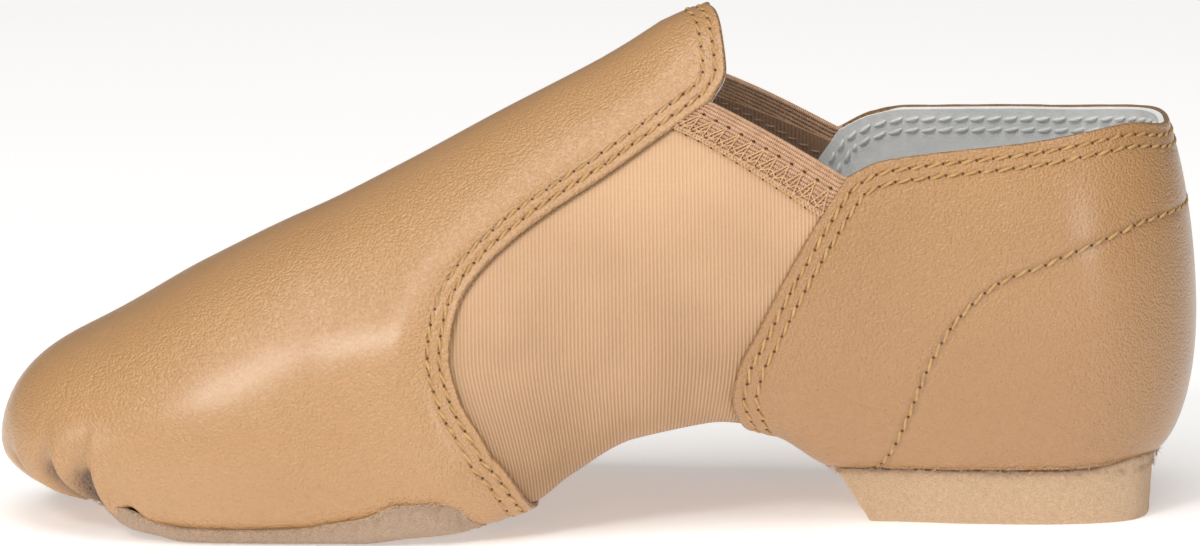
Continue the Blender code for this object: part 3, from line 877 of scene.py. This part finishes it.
goreRises = np.concatenate((evenSteps(-2.0, -1.0, 12), evenSteps(-1.0, 0.93, 70)[1:]))
goreNet = Net(evenSteps(seam - 1.0, front + 1.2, 90), rowsAt(goreRises))
goreShape = {"outside": 0.00012, "thickness": 0.0007, "innerOutside": -0.00060, "innerThickness": 0.00035}
skin = np.full(len(goreNet.points), goreShape["outside"])
gore = shell("goreKnit", goreNet, skin, skin - goreShape["thickness"], goreKnit)
paintUv(gore, "ribs", ribUv(goreNet.points))
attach(gore, "root")
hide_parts("upper")

innerNet = Net(evenSteps(seam - 0.4, front + 0.4, 60), rowsAt(evenSteps(-1.9, 0.93, 60)))
skin = np.full(len(innerNet.points), goreShape["innerOutside"])
inner = shell("goreInside", innerNet, skin, skin - goreShape["innerThickness"], goreInside)
paintUv(inner, "ribs", ribUv(innerNet.points))
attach(inner, "root")
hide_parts("upper")

liningShape = {"outside": -0.0006, "inside": -0.0010, "bareRise": 0.00075}  # out where the knit ends
liningRises = np.concatenate((evenSteps(-1.9, 0.9, 50), (0.95, 0.98, 0.995)))
quarterLiningNet = Net(evenSteps(front + 0.03, back, 70), rowsAt(liningRises))
bare = stepUp(quarterLiningNet.column(1), front + 1.3, front + 1.6)
quarterLining = shell(
    "quarterLining",
    quarterLiningNet,
    liningShape["outside"] + liningShape["bareRise"] * bare,
    np.full(len(bare), liningShape["inside"]),
    greyLining,
)
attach(quarterLining, "root")
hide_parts("upper")

liningColumns = np.concatenate((evenSteps(0, toeFan, 40)[:-1], evenSteps(toeFan, seam - 0.02, 24)))
vampLiningNet = Net(liningColumns, rowsAt(evenSteps(-1.3, 1.0, 50), evenSteps(0.0, 1.0, 24)[1:]))
bare = stepUp(vampLiningNet.column(3), 0.02, 0.08)
liningLift, liningHollow = pleatRelief(vampLiningNet)
pressed = np.minimum(liningLift, 0.0) - 0.5 * liningHollow  # clear of the leather in every pleat
vampLining = shell(
    "vampLining",
    vampLiningNet,
    liningShape["outside"] + liningShape["bareRise"] * bare + pressed,
    pressed + liningShape["inside"],
    greyLining,
)
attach(vampLining, "root")
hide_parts("upper")
print("knit and linings ready")

# Elastics: ribbed bands along the top of the gore, sewn down with an overlock
elasticShape = {
    "width": 0.0092,
    "gap": 0.0003,
    "thickness": 0.0008,
    "ribs": 10,
    "ribDepth": 0.00042,
    "zigzagPitch": 0.0031,
    "zigzagTop": 0.43,  # share of the width from the free edge
    "threadRadius": 0.00017,
    "edgeThread": 0.00023,
    "hole": 0.00026,
    "innerRow": 0.0067,  # from the free edge
    "goreGap": 0.0004,  # the inner face, under the knit
}


def perMetre(side, index):
    # how fast rise runs against length across the band
    probe = 0.05
    step = np.linalg.norm(onLast(side, index, 1.0) - onLast(side, index, 1.0 - probe), axis=-1)
    return probe / step


def bandPoint(side, index, across):
    return onLast(side, index, 1.0 - across * perMetre(side, index))


def bandNormal(side, index, across):
    small = 0.0004
    along = bandPoint(side, index + 0.02, across) - bandPoint(side, index - 0.02, across)
    up = bandPoint(side, index, across - small) - bandPoint(side, index, across + small)
    return unit(np.cross(along, up) * -side)


for side in (medial, lateral):
    acrossSteps = evenSteps(0.0, elasticShape["width"], 90)
    alongSteps = evenSteps(seam - 0.12, front + 0.12, 60)
    index, across = np.meshgrid(alongSteps, acrossSteps)
    base = bandPoint(side, index, across)
    normal = bandNormal(side, index, across)
    phase = across / elasticShape["width"] * elasticShape["ribs"] * math.pi
    ribs = elasticShape["ribDepth"] * (np.abs(np.sin(phase)) ** 0.6 - 1.0)
    outside = base + normal * (elasticShape["gap"] + elasticShape["thickness"] + ribs)[..., None]
    inside = base + normal * (-elasticShape["goreGap"] - ribs)[..., None]
    number = np.arange(index.size).reshape(index.shape)
    loop = (number[:-1, :-1], number[:-1, 1:], number[1:, 1:], number[1:, :-1])
    net = np.stack([corner.ravel() for corner in (loop if side == medial else loop[::-1])], axis=1)
    points = np.concatenate((outside.reshape(-1, 3), inside.reshape(-1, 3)))
    faces = closedFaces(net, index.size)
    piece = newObject("elastic" + sideName[side].capitalize(), points, faces, elasticWeave, 80)
    paintUv(piece, "band", np.stack((base[..., 0].ravel() * 1.1, across.ravel()), axis=1))
    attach(piece, "root")
    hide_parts("elastic_" + sideName[side])
print("elastics ready")

# Insole
insoleNet = Net(evenSteps(0, back, 120), rowsAt(evenSteps(-2.0, -1.0, 14)))
insoleShape = {"underside": -0.0013, "thickness": 0.0020}
skin = np.full(len(insoleNet.points), insoleShape["underside"])
insole = shell("sockLining", insoleNet, skin, skin - insoleShape["thickness"], sockCloth)
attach(insole, "root")
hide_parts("insole")


# Forefoot patch: suede sole, pared thin at its upper edge and towards its tail
def patchTopRise(side, indexes):
    foot = onLast(side, indexes, -1.0)
    return ease(patchEdge, sideName[side], foot[:, 0] / last["length"] + 0.5) - 1.0


def patchRows(side, indexes):
    share = np.concatenate((evenSteps(0.0, 0.58, 16), evenSteps(0.58, 1.0, 24)[1:]))
    rise = -2.0 + (patchTopRise(side, indexes) + 2.0)[None, :] * share[:, None]
    return rise, np.zeros_like(rise)


patchEnd = seam - 1.6
patchShape = {
    "inside": 0.0014,
    "outside": 0.0016,
    "thickness": 0.0016,
    "thinnest": 0.30,  # share of the thickness at the pared edge
    "follow": 0.30,  # how far it follows the pleats
    "tuck": 0.0026,  # how deep its tip goes in under the leather
}
patchNet = Net(evenSteps(0, patchEnd, 240), patchRows)
patchTop = {}
for side in (medial, lateral):
    indexes = evenSteps(0, patchEnd, 600)
    patchTop[side] = denser(onLast(side, indexes, patchTopRise(side, indexes)))
patchEdgeDistance = distanceTo(np.concatenate(list(patchTop.values())), patchNet.points)
wave = np.sin(patchNet.points[:, 0] * 1900) * np.sin(patchNet.points[:, 0] * 731 + 1.0)
taper = stepUp(patchEdgeDistance + 0.0005 * wave, -0.0004, 0.0030)
taper = taper * (1 - 0.5 * stepUp(patchNet.column(1), patchEnd - 1.4, patchEnd))
taper = taper * (0.4 + 0.6 * stepUp(patchNet.points[:, 0], -0.122, -0.090))  # thin at the toe
thin = patchShape["thinnest"]
thick = patchShape["thickness"] * (thin + (1 - thin) * taper) + 0.00008 * wave * (1 - taper)
nearEdge = 1 - stepUp(patchEdgeDistance, 0.0004, 0.0045)
atTip = 1 - stepUp(patchNet.points[:, 0], -0.107, -0.096)
folded = patchShape["follow"] * pleatRelief(patchNet)[1] * nearEdge + patchShape["tuck"] * atTip
patchOuter = patchShape["outside"] + thick - folded
patchInner = patchShape["inside"] - folded
patch = shell("forefootSuede", patchNet, patchOuter, patchInner, patchSuede)
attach(patch, "root")
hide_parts("forefoot_patch")
print("soles ready")

# Heel block
heelShape = {
    "breast": 0.698,
    "lip": 0.0008,
    "slant": 0.0080,
    "flare": 0.0008,
    "squareness": 4.0,
    "round": 0.0007,
    "backLift": 0.0022,  # the seat rises to the leather at the back
    "roughness": 0.00010,
    "fuzz": 0.00018,  # unevenness of the upper edge
    "rows": 26,
}


def heelOutline():
    line = []
    for side in (medial, lateral):
        along = np.linspace(heelShape["breast"], last["heelCentre"], 40)[:-1]
        straight = (along, np.zeros_like(along), np.full_like(along, float(side)), halfWidth(side, along))
        edge = surface(side, straight, np.full_like(along, -1.0))
        edge[:, 1] += side * heelShape["lip"]
        turn = np.linspace(math.pi / 2, 0, 60)
        wayX, wayY, reach = fan(side, turn, 1.0, last["heelCentre"], heelShape["squareness"])
        curved = (np.full_like(turn, last["heelCentre"]), wayX, wayY, reach)
        bend = surface(side, curved, np.full_like(turn, -1.0))
        bend[:, 0] += wayX * heelShape["lip"]
        bend[:, 1] += wayY * heelShape["lip"]
        points = np.concatenate((edge, bend))
        line.append(points if side == medial else points[::-1][1:])
    ring = np.concatenate(line)
    breast = np.linspace(ring[-1], ring[0], 22)[1:-1]
    return denser(np.concatenate((ring, breast, ring[:1])), 0.0007)[:-1]


def heelBlock():
    ring = heelOutline()
    rearmost = ring[:, 0].max()
    foremost = ring[:, 0].min()
    shorten = 1 - heelShape["slant"] / (rearmost - foremost)
    narrow = 1 - heelShape["flare"] / ring[:, 1].max()
    behind = rearmost - heelShape["flare"] - (rearmost - ring[:, 0]) * shorten
    foot = np.stack((behind, ring[:, 1] * narrow), axis=1)
    seat = ring[:, :2]
    lift = heelShape["backLift"] * stepUp(ring[:, 0], rearmost - 0.016, rearmost - 0.001)
    middle = seat.mean(0)
    points, faces = [], []
    height = last["heelHeight"]
    curve = heelShape["round"]
    levels = [
        (curve * (1 - math.sin(angle)), curve * (1 - math.cos(angle)))
        for angle in np.linspace(0, math.pi / 2, 5)
    ]
    levels += [(0.0, z) for z in np.linspace(curve, height - 0.0004, heelShape["rows"])[1:]]
    levels.append((0.0003, height))
    for inset, z in levels:
        share = z / height
        loop = foot * (1 - share) + seat * share
        away = unit(loop - middle)
        loop = loop - away * inset
        rough = np.sin(loop[:, 0] * 2100 + z * 900) * np.sin(loop[:, 1] * 1700 - z * 1300)
        rough = heelShape["roughness"] * rough
        fuzz = heelShape["fuzz"] * stepUp(z, height * 0.75, height)
        fuzz = fuzz * np.sin(loop[:, 0] * 2600 + loop[:, 1] * 1900)
        loop = loop + away * (rough * (z > 0) + fuzz)[:, None]
        points.append(np.concatenate((loop, (z + lift * share)[:, None]), axis=1))
    count = len(ring)
    for level in range(len(levels) - 1):
        for n in range(count):
            onward = (n + 1) % count
            low, high = level * count, (level + 1) * count
            faces.append([low + n, low + onward, high + onward, high + n])
    total = count * len(levels)
    points.append([(middle[0], middle[1], 0.0), (middle[0], middle[1], height)])
    for n in range(count):
        onward = (n + 1) % count
        faces.append([total, onward, n])
        faces.append([total + 1, total - count + n, total - count + onward])
    return np.concatenate(points), faces


heelPoints, heelFaces = heelBlock()
heel = newObject("heelBlock", heelPoints, heelFaces, heelSuede, 60)
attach(heel, "root")
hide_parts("heel")
print("heel block ready")

# Stitching
stitchShape = {
    "pitch": 0.0035,
    "share": 0.84,  # share of the pitch that a stitch takes
    "radius": 0.00033,
    "arch": 0.00030,
    "hole": 0.00031,
    "holeDepths": (-0.0003, 0.00003, 0.00005),
    "sink": 0.00012,  # how deep its ends lie
    "slant": 0.00036,
}
whiteStitch = {**stitchShape, "radius": 0.00044, "arch": 0.00045}
innerStitch = {**stitchShape, "pitch": 0.0028, "radius": 0.00020, "share": 0.70}


def surfaceTree(piece):
    points = [vertex.co.copy() for vertex in piece.data.vertices]
    faces = [tuple(face.vertices) for face in piece.data.polygons]
    return BVHTree.FromPolygons(points, faces)


def besideEdge(edge, towards, distance, tree, edgeTree):
    # the line at a set distance inside an edge; towards gives the way in at each of its points
    found = []
    for point, way in zip(edge, towards):
        place, normal, _, _ = tree.find_nearest(Vector(point + way * distance))
        if edgeTree.find(place)[2] >= distance * 0.96:
            found.append((*place, *normal))
    return np.array(found)


def evenAlong(line, pitch):
    # stations at an even pitch along a line of points and normals
    return resampled(line, lambda length: max(int(round(length / pitch)), 1))


def tube(path, normals, radii, sides=6, flat=0.8):
    # closed tube along a path, flattened towards the surface under it
    along = unit(np.gradient(path, axis=0))
    across = unit(np.cross(normals, along))
    up = np.cross(along, across)
    angles = np.arange(sides) * 2 * math.pi / sides
    rings = (
        path[:, None, :]
        + across[:, None, :] * (np.cos(angles)[None, :, None] * radii[:, None, None])
        + up[:, None, :] * (np.sin(angles)[None, :, None] * radii[:, None, None] * flat)
    )
    points = rings.reshape(-1, 3)
    faces = []
    for r in range(len(path) - 1):
        for s in range(sides):
            onward = (s + 1) % sides
            faces.append([r * sides + s, r * sides + onward, (r + 1) * sides + onward, (r + 1) * sides + s])
    faces.append(list(range(sides))[::-1])
    faces.append([(len(path) - 1) * sides + s for s in range(sides)])
    return points, faces


def joined(name, parts, material):
    # one object of many small parts
    points, faces, start = [], [], 0
    for some, loops in parts:
        points.append(some)
        faces += [[corner + start for corner in loop] for loop in loops]
        start += len(some)
    return newObject(name, np.concatenate(points), faces, material, 60)


def stitchRow(line, shape):
    # stitches with their ends sunk in the leather, and a needle hole between each two
    stations = evenAlong(line, shape["pitch"])
    threads, holes = [], []
    for n in range(len(stations) - 1):
        start, end = stations[n], stations[n + 1]
        normal = unit(start[3:] + end[3:])
        inset = (1 - shape["share"]) / 2
        share = np.linspace(inset, 1 - inset, 8)
        local = np.linspace(0, 1, 8)
        path = start[:3] * (1 - share)[:, None] + end[:3] * share[:, None]
        bow = np.sin(local * math.pi) ** 0.6
        path = path + normal * (shape["arch"] * bow - shape["sink"])[:, None]
        across = unit(np.cross(normal, end[:3] - start[:3]))
        path = path + across * (shape["slant"] * (2 * local - 1))[:, None]
        radii = shape["radius"] * (0.45 + 0.55 * bow)
        threads.append(tube(path, np.tile(normal, (8, 1)), radii))
    # the holes are dark plugs, painted shade
    for station in stations:
        normal = unit(station[3:])
        path = np.stack([station[:3] + normal * depth for depth in shape["holeDepths"]])
        side = unit(np.cross(normal, (0.3, 0.5, 0.8)))
        radii = np.array((shape["hole"], shape["hole"], shape["hole"] * 0.6))
        holes.append(tube(path, np.tile(side, (3, 1)), radii, 8, 1.0))
    return threads, holes


def rowsInside(edge, normals, sign, distances, tree, outside=0.0014):
    # lines at set distances inside an edge of the last, laid on the piece over or under it
    edge = edge + normals * outside
    edgeTree = treeOf(edge)
    ways = unit(np.cross(normals, unit(np.gradient(edge, axis=0))) * sign)
    return [besideEdge(edge, ways, distance, tree, edgeTree) for distance in distances]


def normalsOnLast(side, index, rise, over):
    small = 0.004
    along = onLast(side, index + 0.02, rise, over) - onLast(side, index - 0.02, rise, over)
    above = onLast(side, index, 1.0, np.minimum(over + small, 1.0))
    above = above - onLast(side, index, 1.0, np.maximum(over - small, 1e-6))
    below = onLast(side, index, np.minimum(rise + small, 1.0))
    below = below - onLast(side, index, np.maximum(rise - small, -1.0))
    return unit(np.cross(along, np.where((over > 0)[:, None], above, below)) * -side)


def collarRows(side, lowest, tree, outside=0.0014):
    # the two rows up the front edge of the quarter and along the collar
    rises = np.concatenate((evenSteps(lowest, 1.0, 300), np.ones(500)))
    index = np.concatenate((np.full(301, float(front)), evenSteps(front, back, 500)[1:]))
    inward = np.clip(index, front + 0.05, back - 0.05)
    normals = normalsOnLast(side, inward, rises, np.zeros(len(rises)))
    return rowsInside(onLast(side, index, rises), normals, side, quarterShape["rows"], tree, outside)


vampTree = surfaceTree(vamp)
quarterTree = surfaceTree(quarter)
liningTree = surfaceTree(quarterLining)
threads, holes, whiteRows = [], [], []
for side in (medial, lateral):
    rises = np.concatenate((evenSteps(-0.92, 1.0, 500), np.ones(160)))
    overs = np.concatenate((np.zeros(501), evenSteps(0.0, 0.995, 160)[1:]))
    normals = normalsOnLast(side, np.full(len(rises), seam - 0.05), rises, overs)
    lines = rowsInside(onLast(side, float(seam), rises, overs), normals, -side, vampShape["rows"], vampTree)
    lines += collarRows(side, -0.92, quarterTree)
    outward = normalsOnLast(side, counterColumns, counterRises, np.zeros(len(counterRises)))
    lines += rowsInside(onLast(side, counterColumns, counterRises), outward, 1, (0.0,), quarterTree)
    for line in lines:
        some, dots = stitchRow(line, stitchShape)
        threads += some
        holes += dots
    for line in collarRows(side, -0.2, liningTree, -0.0011):
        whiteRows += stitchRow(line, whiteStitch)[0]
liningThread = joined("liningStitches", whiteRows, whiteThread)
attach(liningThread, "root")
thread = joined("seamStitches", threads, tanThread)
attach(thread, "root")
hole = joined("needleHoles", holes, needleHole)
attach(hole, "root")
print("seam stitches:", len(threads))

# Overlock on the elastics: zigzag threads between a row of needle holes and a corded lower edge
overlock, overlockHoles, innerRows = [], [], []


def bandLine(side, start, end, lift, steps=10):
    share = np.linspace(0, 1, steps)
    index = start[0] + (end[0] - start[0]) * share
    across = (start[1] + (end[1] - start[1]) * share) * elasticShape["width"]
    normal = bandNormal(side, index, across)
    bow = np.sin(share * math.pi) ** 0.35
    return bandPoint(side, index, across) + normal * (lift - 0.00008 + 0.00030 * bow)[:, None], normal


for side in (medial, lateral):
    ends = [bandPoint(side, np.array(float(index)), 0.005) for index in (front, seam)]
    count = int(round(np.linalg.norm(ends[0] - ends[1]) / elasticShape["zigzagPitch"]))
    lift = elasticShape["gap"] + elasticShape["thickness"]
    step = (front - seam) / count
    top, foot = elasticShape["zigzagTop"], 0.97
    for n in range(count):
        start = seam + n * step
        peak = start + step * 0.5
        for one, other in (
            ((start, foot), (peak, top)),
            ((peak, top), (start + step, foot)),
            ((start - step * 0.15, 0.74), (peak, 0.88)),
            ((peak, 0.88), (start + step * 0.85, 0.74)),
            ((peak + step * 0.12, top + 0.04), (peak - step * 0.1, foot)),
        ):
            path, normal = bandLine(side, one, other, lift)
            overlock.append(tube(path, normal, np.full(len(path), elasticShape["threadRadius"]), 5))
        # dark plugs as needle holes, and a deeper row along the lower edge: painted shade
        dots = (((peak, top - 0.03), 0.00012), ((start, 0.90), 0.00012), ((start, 1.05), 0.00092))
        for place, sunk in dots:
            path, normal = bandLine(side, place, (place[0] + 0.05, place[1] - 0.02), lift - sunk, 3)
            overlockHoles.append(tube(path, normal, np.full(3, elasticShape["hole"]), 8, 1.0))
    for turned in (0.0, math.pi):  # two threads looped along the lower edge
        share = np.linspace(0, 1, count * 24)
        index = seam + (front - seam) * share
        wave = np.sin(share * count * 4 * math.pi + turned)
        across = (1.00 + 0.032 * wave) * elasticShape["width"]
        normal = bandNormal(side, index, across)
        lifted = lift - 0.00035 + 0.00014 * np.cos(share * count * 4 * math.pi + turned)
        path = bandPoint(side, index, across) + normal * lifted[:, None]
        overlock.append(tube(path, normal, np.full(len(path), elasticShape["edgeThread"]), 5))
    index = np.linspace(seam, front, 200)
    across = np.full(200, elasticShape["innerRow"])
    normal = bandNormal(side, index, across)
    line = np.concatenate((bandPoint(side, index, across) - normal * 0.00097, -normal), axis=1)
    innerRows += stitchRow(line, innerStitch)[0]
cording = joined("elasticStitches", overlock, cordThread)
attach(cording, "root")
cordingHoles = joined("elasticNeedleHoles", overlockHoles, needleHole)
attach(cordingHoles, "root")
innerStitches = joined("innerStitches", innerRows, innerThread)
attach(innerStitches, "root")
print("elastic stitches ready")

# Loose nap along the upper edges of the patch and of the heel block
napShape = {
    "patch": 2200,  # fibres
    "heel": 2000,
    "long": (0.0005, 0.0014),
    "radius": 0.00008,
    "stray": 0.0003,
    "slip": 0.0005,
}
chance = np.random.RandomState(7)


def napFibres(places, normals, alongs):
    # short curved fibres, each leaning its own way
    fibres = []
    for place, normal, along in zip(places, normals, alongs):
        up = np.cross(along, normal)
        lean = chance.uniform(-1.0, 1.0)
        way = along * lean + up * chance.uniform(-0.5, 0.9) + normal * chance.uniform(0.0, 0.45)
        way = unit(way)
        bend = np.cross(way, normal) * chance.uniform(-0.5, 0.5)
        long = chance.uniform(*napShape["long"])
        share = np.linspace(0, 1, 4)[:, None]
        start = place + up * chance.uniform(-1, 1) * napShape["stray"]
        start = start + along * chance.uniform(-1, 1) * napShape["slip"]
        path = start + (way * share + bend * share**2) * long
        radii = napShape["radius"] * np.array((1.0, 0.9, 0.7, 0.3))
        fibres.append(tube(path, np.tile(normal, (4, 1)), radii, 3, 1.0))
    return fibres


def onPiece(tree, places):
    # nearest places on a piece
    return np.array([tree.find_nearest(Vector(place))[0] for place in places])


loose = []
patchTree = surfaceTree(patch)
for side in (medial, lateral):
    index = np.sort(chance.uniform(2.4, patchEnd - 0.05, napShape["patch"] // 2))
    rise = patchTopRise(side, index)
    along = unit(onLast(side, index + 0.01, rise) - onLast(side, index - 0.01, rise))
    normal = normalsOnLast(side, index, rise, np.zeros(len(index)))
    places = onPiece(patchTree, onLast(side, index, rise) + normal * 0.0020)
    loose += napFibres(places, normal, along * -side)
ring = heelOutline()
middle = ring.mean(0)
for reach, height, tree in ((0.0003, -0.0004, surfaceTree(heel)), (0.0016, 0.0006, quarterTree)):
    picked = ring[chance.randint(0, len(ring) - 1, napShape["heel"] // 2)]
    normal = unit((picked - middle) * (1.0, 1.0, 0.0))
    along = np.stack((-normal[:, 1], normal[:, 0], np.zeros(len(normal))), axis=1)
    places = picked * (1.0, 1.0, 0.0) + normal * reach
    places[:, 2] = last["heelHeight"] + height
    loose += napFibres(onPiece(tree, places) + normal * 0.00005, normal, along)
nap = joined("looseNap", loose, looseNap)
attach(nap, "root")
print("nap fibres:", len(loose))

# Floor, light and camera
floorLook = {"size": 6.0, "light": (0.96, 0.96, 0.96), "dark": (0.94, 0.94, 0.94), "glow": 0.34}
floorMesh = bpy.data.meshes.new("paleFloor")
half = floorLook["size"] / 2
floorMesh.from_pydata(
    [(-half, -half, 0), (half, -half, 0), (half, half, 0), (-half, half, 0)], [], [(0, 1, 2, 3)]
)
floorMaterial, tree, shader = newMaterial("palePaper")
tones = ((0.3, floorLook["dark"]), (0.7, floorLook["light"]))
colour = rampOf(tree, cloudOf(tree, placeNode(tree), 3.0), tones)
finished(tree, shader, colour, None, {"Roughness": 0.8, "Emission Strength": floorLook["glow"]})
shader.inputs["Emission Color"].default_value = (1.0, 1.0, 1.0, 1.0)
floorMesh.materials.append(floorMaterial)
floor = bpy.data.objects.new("paleFloor", floorMesh)
bpy.context.scene.collection.objects.link(floor)

world = bpy.data.worlds.new("studio")
bpy.context.scene.world = world
world.use_nodes = True
world.node_tree.nodes["Background"].inputs["Color"].default_value = (1.0, 1.0, 1.0, 1.0)
world.node_tree.nodes["Background"].inputs["Strength"].default_value = 0.16

lamps = {
    "overheadLight": {"place": (-0.15, -0.85, 2.50), "aim": (-0.02, 0.0, 0.04), "size": 2.20, "power": 45.0},
    "leftLight": {"place": (-0.90, -1.55, 1.35), "aim": (-0.03, 0.0, 0.05), "size": 0.46, "power": 14.0},
    "rightLight": {"place": (0.82, -2.05, 0.30), "aim": (0.05, 0.0, 0.05), "size": 0.34, "power": 5.4},
    "toeLight": {"place": (-1.70, -0.95, 0.42), "aim": (-0.08, 0.0, 0.04), "size": 0.40, "power": 4.0},
}
for name, lamp in lamps.items():
    light = bpy.data.lights.new(name, "AREA")
    light.size = lamp["size"]
    light.energy = lamp["power"]
    light.color = (1.0, 0.98, 0.95)
    lightObject = bpy.data.objects.new(name, light)
    lightObject.location = lamp["place"]
    way = Vector(lamp["aim"]) - Vector(lamp["place"])
    lightObject.rotation_euler = way.to_track_quat("-Z", "Y").to_euler()
    bpy.context.scene.collection.objects.link(lightObject)

view = {
    "distance": 1.8,
    "elevation": 10.5,
    "roll": 0.605,
    "lens": 255.8,
    "shift": (0.0018, -0.0002),
    "aimHeight": 0.05,
}
camera = bpy.data.cameras.new("photoCamera")
camera.lens = view["lens"]
camera.sensor_width = 36.0
camera.sensor_fit = "HORIZONTAL"
camera.shift_x, camera.shift_y = view["shift"]
camera.clip_end = 20.0
cameraObject = bpy.data.objects.new("photoCamera", camera)
tilt = math.radians(view["elevation"])
cameraObject.location = (
    0.0,
    -view["distance"] * math.cos(tilt),
    view["aimHeight"] + view["distance"] * math.sin(tilt),
)
pose = Vector((0.0, math.cos(tilt), -math.sin(tilt))).to_track_quat("-Z", "Y").to_matrix()
roll = Matrix.Rotation(-math.radians(view["roll"]), 3, "Z")
cameraObject.rotation_euler = (pose @ roll).to_euler()
bpy.context.scene.collection.objects.link(cameraObject)
bpy.context.scene.camera = cameraObject
bpy.context.scene.view_settings.view_transform = "Standard"
print("floor, light and camera ready")
